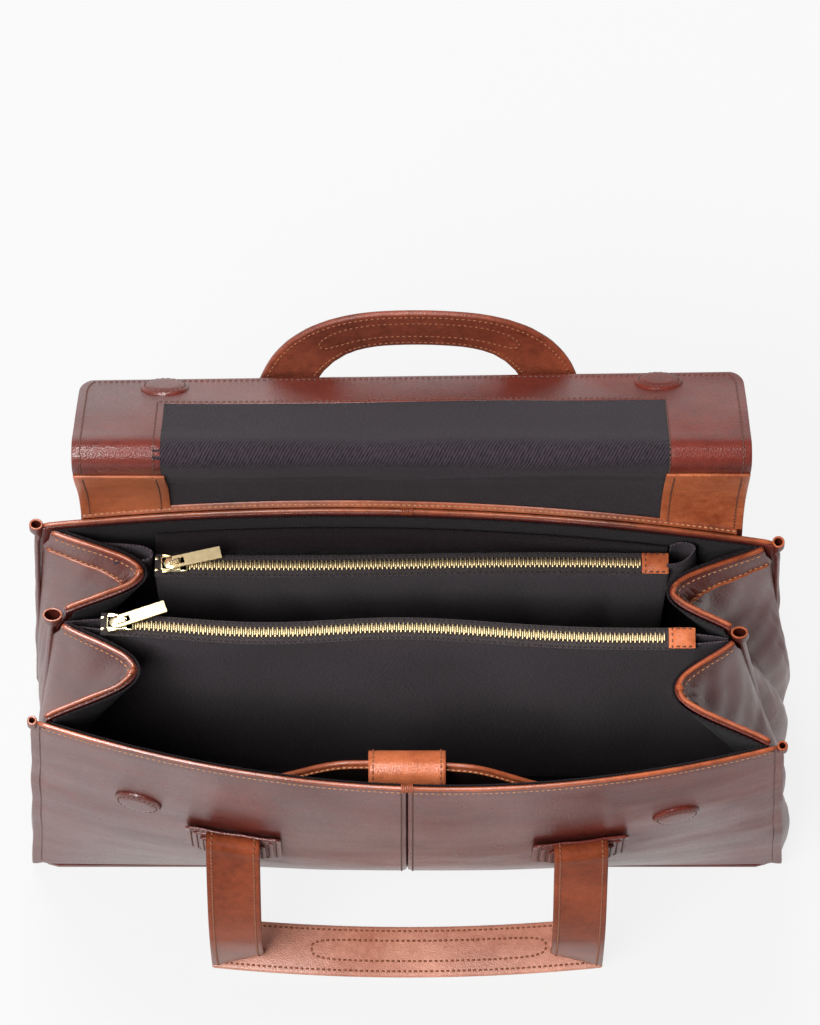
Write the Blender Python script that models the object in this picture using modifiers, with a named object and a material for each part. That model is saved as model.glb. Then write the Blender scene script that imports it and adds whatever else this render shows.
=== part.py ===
"""Leather business bag, standing open: a wide soft body with folded side gussets, a middle
pocket with a zip, a zipped pocket behind it, a flap thrown back over the rear handle, and a
front handle that has fallen to the floor.

Metres, +Z up. The origin is the centre of the base on the floor, the front faces -Y.
"""
import math

import bmesh
import bpy
from mathutils import Matrix, Vector

# Body
BASE_WIDTH = 0.430
BASE_DEPTH = 0.116
BASE_CORNER = 0.012
BASE_THICKNESS = 0.0030
BODY_HEIGHT = 0.280
TOP_WIDTH = 0.402
FRONT_BELLY = 0.0305
REAR_BELLY = 0.0135
BELLY_FULLNESS = 3.0
LEATHER = 0.0022
FABRIC = 0.0010
CLEARANCE = 0.0004
WELT_RADIUS = 0.0032
BINDING_RADIUS = 0.0018
LINING_INSET = 0.020
LINING_GAP = 0.0011

# Where the mouth's corners and the middle seams have moved to, measured from the straight
# line up from the base: the soft mouth leans a little forward on its right side.
FRONT_LEFT_SHIFT = 0.002
FRONT_RIGHT_SHIFT = -0.012
REAR_LEFT_SHIFT = 0.000
REAR_RIGHT_SHIFT = -0.010
MIDDLE_LEFT_INSET = 0.009
MIDDLE_RIGHT_INSET = 0.021
MIDDLE_LEFT_SHIFT = 0.005
MIDDLE_RIGHT_SHIFT = -0.005

# Gussets: how far each is pushed in at the mouth
FOLD_REAR_LEFT = 0.051
FOLD_FRONT_LEFT = 0.048
FOLD_REAR_RIGHT = 0.045
FOLD_FRONT_RIGHT = 0.043
FOLD_ROUNDNESS = 0.8
FOLD_FADE = 1.6
GUSSET_BULGE = 0.003

# Middle pocket and rear pocket, each closed by a zip
DIVIDER_HALF_DEPTH = 0.0055
DIVIDER_INSET = 0.020
TAPE_WIDTH = 0.0130
TAPE_THICKNESS = 0.0009
TEETH_WIDTH = 0.0055
TEETH_HEIGHT = 0.0016
RIDGE_HEIGHT = 0.0005
RIDGES = 16
MIDDLE_ZIP_HEIGHT = 0.268
MIDDLE_ZIP_LEFT = -0.167
MIDDLE_ZIP_RIGHT = 0.157
REAR_ZIP_HEIGHT = 0.266
REAR_ZIP_LEFT = -0.138
REAR_ZIP_RIGHT = 0.143
REAR_ZIP_Y = 0.0385
REAR_POCKET_BOTTOM = 0.060
ZIP_TAB_LENGTH = 0.0145
ZIP_TAB_WIDTH = 0.0120
ZIP_TAB_THICKNESS = 0.0016

# Zip sliders and their pull tabs
SLIDER_LENGTH = 0.0150
SLIDER_WIDTH = 0.0095
SLIDER_HEIGHT = 0.0028
BRIDGE_LENGTH = 0.0050
BRIDGE_WIDTH = 0.0026
BRIDGE_WALL = 0.0008
PIVOT_CLEARANCE = 0.00035
PULL_LENGTH = 0.0260
PULL_WIDTH = 0.0066
PULL_THICKNESS = 0.0012
PULL_WINDOW = 0.0056
MIDDLE_PULL_TURN = math.radians(19.0)
REAR_PULL_TURN = math.radians(13.0)

# Open pocket inside the front, with its tab
SLIP_WIDTH = 0.240
SLIP_TOP = 0.250
SLIP_BOTTOM = 0.070
SLIP_BOW = 0.019
TAB_WIDTH = 0.042
TAB_LENGTH = 0.034
TAB_RISE = 0.0018

# Flap, thrown back
FLAP_WIDTH = 0.362
FLAP_SHIFT = 0.0025
FLAP_OVERLAP = 0.022
FLAP_RISE = 0.104
FLAP_LEAN = 0.004
FLAP_REACH = 0.070
FLAP_DROP = 0.079
FLAP_FRAME = 0.047
FLAP_BAND = 0.040
FACING = 0.0014

# Magnet discs sewn into the front panel and the flap
DISC_RADIUS = 0.0133
DISC_THICKNESS = 0.0026
DISC_SPACING = 0.296
DISC_HEIGHT = 0.200
FLAP_DISC_SPACING = 0.269
FLAP_DISC_INSET = 0.0155

# Handles and the stacked patches that carry them
STRAP_WIDTH = 0.030
STRAP_THICKNESS = 0.0034
PATCH_SPACING = 0.193
PATCH_TOP = 0.177
PATCH_WIDTH = 0.053
PATCH_HEIGHT = 0.050
PATCH_STEP = 0.0042
PATCH_LAYER = 0.0016
STRAP_EXIT = 0.009
STRAP_BEND = 0.0042
GRIP_FORWARD = 0.046
GRIP_BOW = 0.006
GRIP_CORNER_SPACING = 0.196
GRIP_CORNER_TURN = 0.34
REAR_HANDLE_LEAN = math.radians(33.0)
REAR_GRIP_LEAN = math.radians(16.5)
REAR_HANDLE_RISE = 0.174
REAR_GRIP_SHIFT = 0.006

# Shape of the standing rear handle: shares of its half spacing and of its rise
REAR_HANDLE_SHAPE = (
    {"side": 1.00, "rise": 0.00},
    {"side": 0.98, "rise": 0.17},
    {"side": 0.90, "rise": 0.46},
    {"side": 0.79, "rise": 0.72},
    {"side": 0.68, "rise": 0.88},
    {"side": 0.42, "rise": 0.98},
)

PANEL_BOTTOM = BASE_THICKNESS + CLEARANCE
PANEL_TOP = BODY_HEIGHT - 2 * BINDING_RADIUS - CLEARANCE
LINING_LIFT = LEATHER + LINING_GAP
POCKET_LIFT = LINING_LIFT + FABRIC + LINING_GAP
FACING_LIFT = LEATHER + CLEARANCE

for old in list(bpy.data.objects):
    bpy.data.objects.remove(old, do_unlink=True)

bag_collection = bpy.data.collections.new("leather_business_bag")
tool_collection = bpy.data.collections.new("tools")
bpy.context.scene.collection.children.link(bag_collection)
bpy.context.scene.collection.children.link(tool_collection)


def make_material(name, colour, roughness, metallic=0.0):
    material = bpy.data.materials.new(name)
    material.use_nodes = True
    shader = material.node_tree.nodes["Principled BSDF"]
    shader.inputs["Base Color"].default_value = (*colour, 1.0)
    shader.inputs["Roughness"].default_value = roughness
    shader.inputs["Metallic"].default_value = metallic
    return material


BODY_LEATHER = make_material("body_leather", (0.22, 0.085, 0.045), 0.42)
TRIM_LEATHER = make_material("trim_leather", (0.36, 0.15, 0.065), 0.40)
STRAP_LEATHER = make_material("strap_leather", (0.30, 0.12, 0.055), 0.40)
LINING_FABRIC = make_material("lining_fabric", (0.018, 0.018, 0.020), 0.85)
ZIP_TAPE = make_material("zip_tape", (0.025, 0.023, 0.022), 0.80)
BRASS = make_material("brass", (0.78, 0.56, 0.26), 0.28, 1.0)


def mix(a, b, share):
    return a + (b - a) * share


def link(name, mesh, material, collection=bag_collection):
    thing = bpy.data.objects.new(name, mesh)
    thing.data.materials.append(material)
    collection.objects.link(thing)
    return thing


def as_tool(thing):
    thing.hide_render = True
    thing.display_type = "WIRE"
    return thing


def sheet(name, columns, rows, place, thickness, material, lift=0.0, keep=None, centred=False,
          collection=bag_collection):
    """A bent sheet: a flat grid carried through place(across, along), then given its wall.

    lift moves it along its normals; keep(across, along) says which faces stay."""
    mesh = bpy.data.meshes.new(name)
    grid = bmesh.new()
    bmesh.ops.create_grid(grid, x_segments=columns, y_segments=rows, size=0.5)
    if keep:
        outside = [face for face in grid.faces
                   if not keep(face.calc_center_median().x + 0.5, face.calc_center_median().y + 0.5)]
        bmesh.ops.delete(grid, geom=outside, context="FACES")
    for vertex in grid.verts:
        vertex.co = Vector(place(vertex.co.x + 0.5, vertex.co.y + 0.5))
    grid.normal_update()
    moves = [vertex.normal * lift * vertex.calc_shell_factor() for vertex in grid.verts]
    for vertex, move in zip(grid.verts, moves):
        vertex.co += move
    grid.to_mesh(mesh)
    grid.free()
    thing = link(name, mesh, material, collection)
    wall = thing.modifiers.new("wall", "SOLIDIFY")
    wall.thickness = thickness
    wall.offset = 0.0 if centred else -1.0
    wall.use_even_offset = True
    return thing


def tube(name, points, radius, material):
    """A round binding or welt: a curve through points with closed ends."""
    curve = bpy.data.curves.new(name, "CURVE")
    curve.dimensions = "3D"
    curve.bevel_depth = radius
    curve.bevel_resolution = 2
    curve.use_fill_caps = True
    spline = curve.splines.new("POLY")
    spline.points.add(len(points) - 1)
    for knot, point in zip(spline.points, points):
        knot.co = (*point, 1.0)
    return link(name, curve, material)


def box(name, low, high, material, collection=bag_collection):
    mesh = bpy.data.meshes.new(name)
    solid = bmesh.new()
    low, high = Vector(low), Vector(high)
    size = high - low
    bmesh.ops.create_cube(solid, size=1.0, matrix=Matrix.Diagonal((*size, 1.0)))
    bmesh.ops.translate(solid, verts=solid.verts, vec=(low + high) / 2)
    solid.to_mesh(mesh)
    solid.free()
    return link(name, mesh, material, collection)


def disc(name, radius, height, sides, material, collection=bag_collection):
    mesh = bpy.data.meshes.new(name)
    solid = bmesh.new()
    bmesh.ops.create_cone(solid, cap_ends=True, segments=sides, radius1=radius, radius2=radius,
                          depth=height)
    solid.to_mesh(mesh)
    solid.free()
    return link(name, mesh, material, collection)


def combine(thing, other, operation):
    joint = thing.modifiers.new(other.name, "BOOLEAN")
    joint.operation = operation
    joint.object = other
    joint.solver = "EXACT"
    as_tool(other)


def rounded(points, passes=2):
    """Cuts the corners off a line of points, so that it bends smoothly."""
    for _ in range(passes):
        smooth = [points[0]]
        for start, end in zip(points, points[1:]):
            smooth += [start.lerp(end, 0.25), start.lerp(end, 0.75)]
        points = smooth + [points[-1]]
    return points


def along(points, share):
    """The point at a share of a line's length, and the direction there."""
    lengths = [(b - a).length for a, b in zip(points, points[1:])]
    left = share * sum(lengths)
    for start, end, length in zip(points, points[1:], lengths):
        if left <= length or end is points[-1]:
            return start.lerp(end, min(left / length, 1.0)), (end - start).normalized()
        left -= length


# Walls of the body

def belly(height_share):
    return 1.0 - (1.0 - height_share) ** BELLY_FULLNESS


def wall_height(height_share):
    return mix(PANEL_BOTTOM, PANEL_TOP, height_share)


def half_width(height_share):
    return mix(BASE_WIDTH, TOP_WIDTH, height_share) / 2


def front_wall(side, height_share):
    """The front's outer face; side runs from -1 at the left seam to 1 at the right."""
    shift = mix(FRONT_LEFT_SHIFT, FRONT_RIGHT_SHIFT, (side + 1) / 2) * height_share
    bow = FRONT_BELLY * belly(height_share) * (1 - side * side)
    return Vector((side * half_width(height_share), -BASE_DEPTH / 2 + shift - bow,
                   wall_height(height_share)))


def rear_wall(side, height_share):
    shift = mix(REAR_LEFT_SHIFT, REAR_RIGHT_SHIFT, (side + 1) / 2) * height_share
    bow = REAR_BELLY * belly(height_share) * (1 - side * side)
    return Vector((side * half_width(height_share), BASE_DEPTH / 2 + shift + bow,
                   wall_height(height_share)))


def middle_seam(side, height_share):
    inset, shift = ((MIDDLE_LEFT_INSET, MIDDLE_LEFT_SHIFT) if side < 0
                    else (MIDDLE_RIGHT_INSET, MIDDLE_RIGHT_SHIFT))
    x = side * (half_width(height_share) - inset * height_share)
    return Vector((x, shift * height_share, wall_height(height_share)))


def wall_share(height):
    return (height - PANEL_BOTTOM) / (PANEL_TOP - PANEL_BOTTOM)


def on_front(x, height):
    share = wall_share(height)
    return front_wall(x / half_width(share), share)


def on_rear(x, height):
    share = wall_share(height)
    return rear_wall(x / half_width(share), share)


def make_base():
    """The stiff bottom: a board with round corners, and the lining that lies on it."""
    for name, margin, low, high, material in (
            ("base_panel", 0.0, 0.0, BASE_THICKNESS, BODY_LEATHER),
            ("base_lining", 2 * LEATHER + 2 * LINING_LIFT, BASE_THICKNESS + CLEARANCE,
             BASE_THICKNESS + CLEARANCE + FABRIC, LINING_FABRIC)):
        outline = bpy.data.curves.new(name, "CURVE")
        outline.dimensions = "2D"
        outline.fill_mode = "BOTH"
        outline.extrude = (high - low) / 2
        edge = outline.splines.new("POLY")
        points = []
        for corner_x, corner_y, start in ((1, 1, 0.0), (-1, 1, 0.5), (-1, -1, 1.0), (1, -1, 1.5)):
            for step in range(4):
                angle = math.pi * (start + step / 6)
                centre_x = corner_x * (BASE_WIDTH / 2 - margin - BASE_CORNER)
                centre_y = corner_y * (BASE_DEPTH / 2 - margin - BASE_CORNER)
                points.append((centre_x + BASE_CORNER * math.cos(angle),
                               centre_y + BASE_CORNER * math.sin(angle)))
        edge.points.add(len(points) - 1)
        for knot, (x, y) in zip(edge.points, points):
            knot.co = (x, y, 0.0, 1.0)
        edge.use_cyclic_u = True
        plate = link(name, outline, material)
        plate.location.z = (low + high) / 2


def make_walls():
    """Front and rear, each two panels that meet at a seam down the middle, and their linings."""
    seam = CLEARANCE / 2
    for which, wall, columns, rows in (("front", front_wall, 7, 8), ("rear", rear_wall, 5, 5)):
        for side_name, side in (("left", -1), ("right", 1)):
            def place(across, up, side=side, wall=wall, which=which):
                edge = 1.0 - (WELT_RADIUS + CLEARANCE) / half_width(up)
                inner = seam / half_width(up)
                share = mix(-edge, -inner, across) if side < 0 else mix(inner, edge, across)
                return wall(share if which == "front" else -share, up)
            flipped = side if which == "front" else -side
            name = f"{which}_panel_{'left' if flipped < 0 else 'right'}"
            sheet(name, columns, rows, place, LEATHER, BODY_LEATHER)

        def place_lining(across, up, wall=wall, which=which):
            edge = 1.0 - LINING_INSET / half_width(up)
            share = mix(-edge, edge, across)
            up = mix(wall_share(PANEL_BOTTOM + FABRIC + 3 * CLEARANCE), 1.0, up)
            return wall(share if which == "front" else -share, up)
        sheet(f"{which}_lining", 10, 8, place_lining, FABRIC, LINING_FABRIC, lift=-LINING_LIFT)


GUSSETS = (
    ("rear_left", lambda up: rear_wall(-1, up), lambda up: middle_seam(-1, up), 1, FOLD_REAR_LEFT),
    ("front_left", lambda up: middle_seam(-1, up), lambda up: front_wall(-1, up), 1, FOLD_FRONT_LEFT),
    ("front_right", lambda up: front_wall(1, up), lambda up: middle_seam(1, up), -1, FOLD_FRONT_RIGHT),
    ("rear_right", lambda up: middle_seam(1, up), lambda up: rear_wall(1, up), -1, FOLD_REAR_RIGHT),
)


def gusset_point(start, end, inward, fold, across, up):
    """A gusset's outer face: straight between its seams at the base, folded in at the mouth."""
    point = start(up).lerp(end(up), across)
    wave = (0.5 - 0.5 * math.cos(2 * math.pi * across)) ** FOLD_ROUNDNESS
    point.x += inward * fold * wave * up ** FOLD_FADE
    point.x -= inward * GUSSET_BULGE * math.sin(math.pi * up) * math.sin(math.pi * across)
    return point


def make_gussets():
    for name, start, end, inward, fold in GUSSETS:
        def place(across, up, margin, shape=(start, end, inward, fold)):
            gap = (margin + LEATHER * up ** FOLD_FADE) / (shape[1](up) - shape[0](up)).length
            return gusset_point(*shape, mix(gap, 1 - gap, across), up)
        seam = WELT_RADIUS + CLEARANCE
        sheet(f"gusset_{name}", 10, 7, lambda across, up: place(across, up, seam), LEATHER,
              BODY_LEATHER)
        low = wall_share(PANEL_BOTTOM + FABRIC + 3 * CLEARANCE)
        sheet(f"gusset_lining_{name}", 8, 5,
              lambda across, up: place(across, mix(low, 1.0, up), 3 * WELT_RADIUS), FABRIC,
              LINING_FABRIC, lift=-LINING_LIFT)
        steps = 10
        rim = [place(step / steps, 1.0, WELT_RADIUS + BINDING_RADIUS) for step in range(steps + 1)]
        rise = Vector((0.0, 0.0, BINDING_RADIUS + CLEARANCE))
        tube(f"gusset_binding_{name}", [point + rise for point in rim], BINDING_RADIUS, TRIM_LEATHER)


def make_welts():
    """The rolled seams at the four corners and at the middle of each side."""
    steps = 5
    seams = {
        "corner_welt_front_left": lambda up: front_wall(-1, up),
        "corner_welt_front_right": lambda up: front_wall(1, up),
        "corner_welt_rear_left": lambda up: rear_wall(-1, up),
        "corner_welt_rear_right": lambda up: rear_wall(1, up),
        "middle_welt_left": lambda up: middle_seam(-1, up),
        "middle_welt_right": lambda up: middle_seam(1, up),
    }
    for name, seam in seams.items():
        points = [seam(step / steps) for step in range(steps + 1)]
        points[0].z += WELT_RADIUS / 4
        points[-1].z = BODY_HEIGHT
        tube(name, points, WELT_RADIUS, BODY_LEATHER)


def make_rims():
    """The rolled leather edge along the front and along the rear of the mouth."""
    steps = 12
    end = 1.0 - (WELT_RADIUS + BINDING_RADIUS) / half_width(1.0)
    for name, wall, inward in (("front_binding", front_wall, 1), ("rear_binding", rear_wall, -1)):
        points = [wall(mix(-end, end, step / steps), 1.0) for step in range(steps + 1)]
        move = Vector((0.0, inward * LEATHER / 2, BINDING_RADIUS + CLEARANCE))
        tube(name, [point + move for point in points], BINDING_RADIUS, TRIM_LEATHER)


# Pockets and zips

def middle_line(x):
    """Where the middle of the bag runs at the mouth, from one middle seam to the other."""
    left, right = middle_seam(-1, 1.0), middle_seam(1, 1.0)
    return mix(left.y, right.y, (x - left.x) / (right.x - left.x))


def make_divider():
    """The fabric walls of the zipped pocket that splits the bag in two."""
    top = MIDDLE_ZIP_HEIGHT - TAPE_THICKNESS - CLEARANCE
    for name, facing in (("divider_front", -1), ("divider_rear", 1)):
        def place(across, up, facing=facing):
            share = wall_share(mix(PANEL_BOTTOM + FABRIC + CLEARANCE, top, up))
            left, right = middle_seam(-1, share), middle_seam(1, share)
            ends = (left.x + DIVIDER_INSET, right.x - DIVIDER_INSET)
            position = across if facing < 0 else 1 - across
            x = mix(*ends, position)
            swell = 1.0 - abs(2 * position - 1) ** 6
            depth = mix(FABRIC + CLEARANCE, DIVIDER_HALF_DEPTH, swell)
            y = middle_line(x) * share + facing * depth
            return x, y, wall_height(share)
        sheet(name, 8, 4, place, FABRIC, LINING_FABRIC)


def make_zip(name, line, height, left, right, turn):
    """A zip lying face up: tape, ridged teeth, slider with its pull, and a leather end tab."""
    tape_place = lambda across, up: (mix(left, right, across),
                                     line(mix(left, right, across)) + (up - 0.5) * TAPE_WIDTH, height)
    sheet(f"{name}_tape", 14, 1, tape_place, TAPE_THICKNESS, ZIP_TAPE)
    top = height + CLEARANCE
    slider_x = left + SLIDER_LENGTH / 2 + 2 * TEETH_HEIGHT
    teeth_left = slider_x + SLIDER_LENGTH / 2 + CLEARANCE
    teeth_right = right - ZIP_TAB_LENGTH - CLEARANCE

    def teeth_place(across, up):
        x = mix(teeth_left, teeth_right, across)
        ridge = RIDGE_HEIGHT * abs(math.sin(math.pi * RIDGES * across))
        return x, line(x) + (up - 0.5) * TEETH_WIDTH, top + TEETH_HEIGHT + ridge
    sheet(f"{name}_teeth", 2 * RIDGES, 1, teeth_place, TEETH_HEIGHT, BRASS)

    def tab_place(across, up):
        x = mix(teeth_right + CLEARANCE, right, across)
        return x, line(x) + (up - 0.5) * ZIP_TAB_WIDTH, top + ZIP_TAB_THICKNESS
    sheet(f"{name}_tab", 3, 1, tab_place, ZIP_TAB_THICKNESS, TRIM_LEATHER)

    body = box(f"{name}_slider", (-SLIDER_LENGTH / 2, -SLIDER_WIDTH / 2, 0.0),
               (SLIDER_LENGTH / 2, SLIDER_WIDTH / 2, SLIDER_HEIGHT), BRASS)
    bevel = body.modifiers.new("edges", "BEVEL")
    bevel.width = BRIDGE_WALL
    bevel.segments = 1
    bar_reach = PULL_THICKNESS / 2 * math.sqrt(2)
    hole_radius = bar_reach + PIVOT_CLEARANCE
    pivot_height = SLIDER_HEIGHT + BRIDGE_WALL / 2 + hole_radius
    block = box(f"{name}_bridge", (-BRIDGE_LENGTH / 2, -BRIDGE_WIDTH / 2, SLIDER_HEIGHT / 2),
                (BRIDGE_LENGTH / 2, BRIDGE_WIDTH / 2, pivot_height + hole_radius + BRIDGE_WALL),
                BRASS, tool_collection)
    hole = disc(f"{name}_bridge_hole", hole_radius, 2 * BRIDGE_WIDTH, 12, BRASS, tool_collection)
    block.rotation_euler.z = turn
    combine(body, block, "UNION")
    combine(body, hole, "DIFFERENCE")
    place = Vector((slider_x, line(slider_x), top))
    body.location = place
    block.location = place
    pivot = place + Vector((0.0, 0.0, pivot_height))
    hole.location = pivot
    hole.rotation_euler = (math.pi / 2, 0.0, turn)

    pull = box(f"{name}_pull", (-PULL_THICKNESS / 2, -PULL_WIDTH / 2, -PULL_THICKNESS / 2),
               (PULL_LENGTH, PULL_WIDTH / 2, PULL_THICKNESS / 2), BRASS)
    window_half = BRIDGE_WIDTH / 2 + PIVOT_CLEARANCE
    window = box(f"{name}_pull_window", (PULL_THICKNESS / 2, -window_half, -PULL_THICKNESS),
                 (PULL_WINDOW, window_half, PULL_THICKNESS), BRASS, tool_collection)
    for piece in (pull, window):
        piece.location = pivot
        piece.rotation_euler.z = turn
    combine(pull, window, "DIFFERENCE")


def make_rear_pocket():
    """The pocket against the rear: its front wall, and the strip behind its zip."""
    tape_low = REAR_ZIP_HEIGHT - TAPE_THICKNESS - CLEARANCE

    def front_place(across, up):
        x = mix(REAR_ZIP_LEFT, REAR_ZIP_RIGHT, across)
        height = mix(REAR_POCKET_BOTTOM, tape_low, up)
        seat = on_rear(x, height).y - POCKET_LIFT - LINING_GAP
        y = mix(seat, REAR_ZIP_Y - TAPE_WIDTH / 2 + FABRIC, up ** 0.7)
        return x, y, height

    def back_place(across, up):
        x = mix(REAR_ZIP_LEFT, REAR_ZIP_RIGHT, across)
        y = mix(REAR_ZIP_Y + TAPE_WIDTH / 2 + CLEARANCE, on_rear(x, PANEL_TOP).y - POCKET_LIFT - FABRIC, up)
        return x, y, mix(REAR_ZIP_HEIGHT, PANEL_TOP - FABRIC, up)
    sheet("rear_pocket_front", 10, 5, front_place, FABRIC, LINING_FABRIC)
    sheet("rear_pocket_back", 10, 1, back_place, FABRIC, LINING_FABRIC)


def slip_point(x, height):
    """The face of the open front pocket that looks towards the front panel."""
    rise = (height - SLIP_BOTTOM) / (SLIP_TOP - SLIP_BOTTOM)
    bow = SLIP_BOW * rise ** 1.5 * (1 - (2 * x / SLIP_WIDTH) ** 2)
    point = on_front(x, height)
    point.y += bow + BINDING_RADIUS * rise
    return point


def make_slip_pocket():
    top = SLIP_TOP - 2 * BINDING_RADIUS - CLEARANCE

    def place(across, up):
        return slip_point(mix(-0.5, 0.5, across) * SLIP_WIDTH, mix(SLIP_BOTTOM, top, up))
    sheet("slip_pocket", 10, 5, place, LEATHER, BODY_LEATHER, lift=-POCKET_LIFT)
    steps = 12
    points = [place(step / steps, 1.0) + Vector((0.0, POCKET_LIFT + LEATHER / 2,
                                                 BINDING_RADIUS + CLEARANCE))
              for step in range(steps + 1)]
    tube("slip_binding", points, BINDING_RADIUS, TRIM_LEATHER)

    edge = slip_point(0.0, top).y + POCKET_LIFT + LEATHER / 2
    start = on_front(0.0, SLIP_TOP).y + LINING_LIFT + FABRIC + 2 * LINING_GAP
    over = SLIP_TOP + TAB_RISE
    drop = edge + BINDING_RADIUS + 4 * CLEARANCE
    line = rounded([Vector((start, over)), Vector((edge, over)), Vector((drop, over)),
                    Vector((drop, SLIP_TOP - BINDING_RADIUS)),
                    Vector((drop + CLEARANCE, SLIP_TOP - TAB_LENGTH))])

    def tab_place(across, up):
        point, _ = along(line, up)
        return (0.5 - across) * TAB_WIDTH, point.x, point.y
    sheet("pocket_tab", 2, 8, tab_place, LEATHER, TRIM_LEATHER)


# Flap

def flap_line(x):
    """The flap's outer face from its seam on the rear panel to its free edge, as (y, z)."""
    rear = on_rear(x, PANEL_TOP).y
    straight = on_rear(0.0, PANEL_TOP).y
    stack = 2 * LEATHER + 2 * CLEARANCE + FACING
    crease = BODY_HEIGHT + FLAP_RISE
    line = [Vector((on_rear(x, BODY_HEIGHT - FLAP_OVERLAP).y + LEATHER + CLEARANCE,
                    BODY_HEIGHT - FLAP_OVERLAP)),
            Vector((rear + LEATHER + 2 * CLEARANCE, BODY_HEIGHT - FLAP_OVERLAP / 2)),
            Vector((rear + stack + BINDING_RADIUS, BODY_HEIGHT + BINDING_RADIUS)),
            Vector((mix(rear, straight, 0.5) + stack, BODY_HEIGHT + FLAP_RISE / 3)),
            Vector((straight - FLAP_LEAN, crease - FLAP_RISE / 12)),
            Vector((straight - FLAP_LEAN / 2, crease)),
            Vector((straight + FLAP_REACH / 10, crease - FLAP_DROP / 40)),
            Vector((straight + FLAP_REACH, crease - FLAP_DROP))]
    return rounded(line)


def make_flap():
    """Leather outside; inside, a leather frame round a fabric middle."""
    length = sum((b - a).length for a, b in zip(flap_line(0.0), flap_line(0.0)[1:]))
    lip = (FLAP_OVERLAP + 3 * BINDING_RADIUS) / length
    band = 1.0 - FLAP_BAND / length

    def surface(x, up):
        point, _ = along(flap_line(x), up)
        return Vector((x + FLAP_SHIFT, point.x, point.y))

    side = FLAP_FRAME / FLAP_WIDTH
    columns = ([0.0, side / 2, side] + [mix(side, 1 - side, step / 4) for step in (1, 2, 3)]
               + [1 - side, 1 - side / 2, 1.0])
    rows = [0.0, lip / 2] + [mix(lip, band, step / 9) for step in range(10)] + [mix(band, 1, 0.5), 1.0]
    last = len(rows) - 1

    def whole(across, up, first_row=0, first_column=0, gap=0.0):
        """The flap's own lines; a piece inside the frame leaves off the first and last ones."""
        span = len(columns) - 1 - 2 * first_column
        column = first_column + round(across * span)
        share = columns[column]
        share += gap if column == first_column else -gap if column == first_column + span else 0.0
        end_row = last - 2 if first_column else last
        row = first_row + round(up * (end_row - first_row))
        height = rows[row] - (gap if first_column and row == end_row else 0.0)
        return surface((0.5 - share) * FLAP_WIDTH, height)

    sheet("flap_outer", len(columns) - 1, last, whole, LEATHER, BODY_LEATHER)
    frame_rows = last - 2
    sheet("flap_facing", len(columns) - 1, frame_rows, lambda across, up: whole(across, up, 2), FACING,
          TRIM_LEATHER, lift=-FACING_LIFT,
          keep=lambda across, up: up > 1 - 2 / frame_rows or abs(across - 0.5) > 0.25)
    sheet("flap_lining", len(columns) - 5, last - 4,
          lambda across, up: whole(across, up, 2, 2, 2 * CLEARANCE / FLAP_WIDTH), FABRIC,
          LINING_FABRIC, lift=-FACING_LIFT)

    for name, sign in (("flap_disc_left", -1), ("flap_disc_right", 1)):
        point, direction = along(flap_line(0.0), 1.0 - FLAP_DISC_INSET / length)
        tangent = Vector((0.0, direction.x, direction.y))
        normal = Vector((0.0, -direction.y, direction.x))
        centre = Vector((sign * FLAP_DISC_SPACING / 2 + FLAP_SHIFT, point.x, point.y))
        centre -= normal * -(FACING_LIFT + FACING + CLEARANCE + DISC_THICKNESS / 2)
        button = disc(name, DISC_RADIUS, DISC_THICKNESS, 16, TRIM_LEATHER)
        button.matrix_world = Matrix.Translation(centre) @ normal.to_track_quat("Z", "X").to_matrix().to_4x4()


def make_front_discs():
    for name, sign in (("front_disc_left", -1), ("front_disc_right", 1)):
        x = sign * DISC_SPACING / 2
        point = on_front(x, DISC_HEIGHT)
        step = 0.004
        across = (on_front(x + step, DISC_HEIGHT) - on_front(x - step, DISC_HEIGHT)).normalized()
        up = (on_front(x, DISC_HEIGHT + step) - on_front(x, DISC_HEIGHT - step)).normalized()
        normal = across.cross(up)
        button = disc(name, DISC_RADIUS, DISC_THICKNESS, 16, BODY_LEATHER)
        centre = point + normal * (DISC_THICKNESS / 2 + 1.5 * CLEARANCE)
        button.matrix_world = Matrix.Translation(centre) @ normal.to_track_quat("Z", "X").to_matrix().to_4x4()


# Handles

def make_patches():
    """Under each strap end a stack of three leather layers, sewn into one."""
    for wall_name, on_wall, outward in (("front", on_front, -1), ("rear", on_rear, 1)):
        for side_name, side in (("left", -1), ("right", 1)):
            layers = []
            for layer in range(3):
                margin = layer * PATCH_STEP
                top = PATCH_TOP - (STRAP_EXIT + CLEARANCE if layer else 0.0) - max(layer - 1, 0) * PATCH_STEP
                bottom = PATCH_TOP - PATCH_HEIGHT + margin

                def place(across, up, margin=margin, top=top, bottom=bottom, side=side):
                    half = PATCH_WIDTH / 2 - margin
                    offset = mix(-half, half, across) * -outward
                    return on_wall(side * PATCH_SPACING / 2 + offset, mix(bottom, top, up))
                sunk = CLEARANCE if layer else 0.0
                name = f"handle_patch_{wall_name}_{side_name}"
                layers.append(sheet(name if not layer else f"{name}_layer_{layer}", 2, 2, place,
                                    PATCH_LAYER + sunk, BODY_LEATHER,
                                    lift=CLEARANCE * 2 + (layer + 1) * PATCH_LAYER,
                                    collection=tool_collection if layer else bag_collection))
            for layer in layers[1:]:
                combine(layers[0], layer, "UNION")


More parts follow.
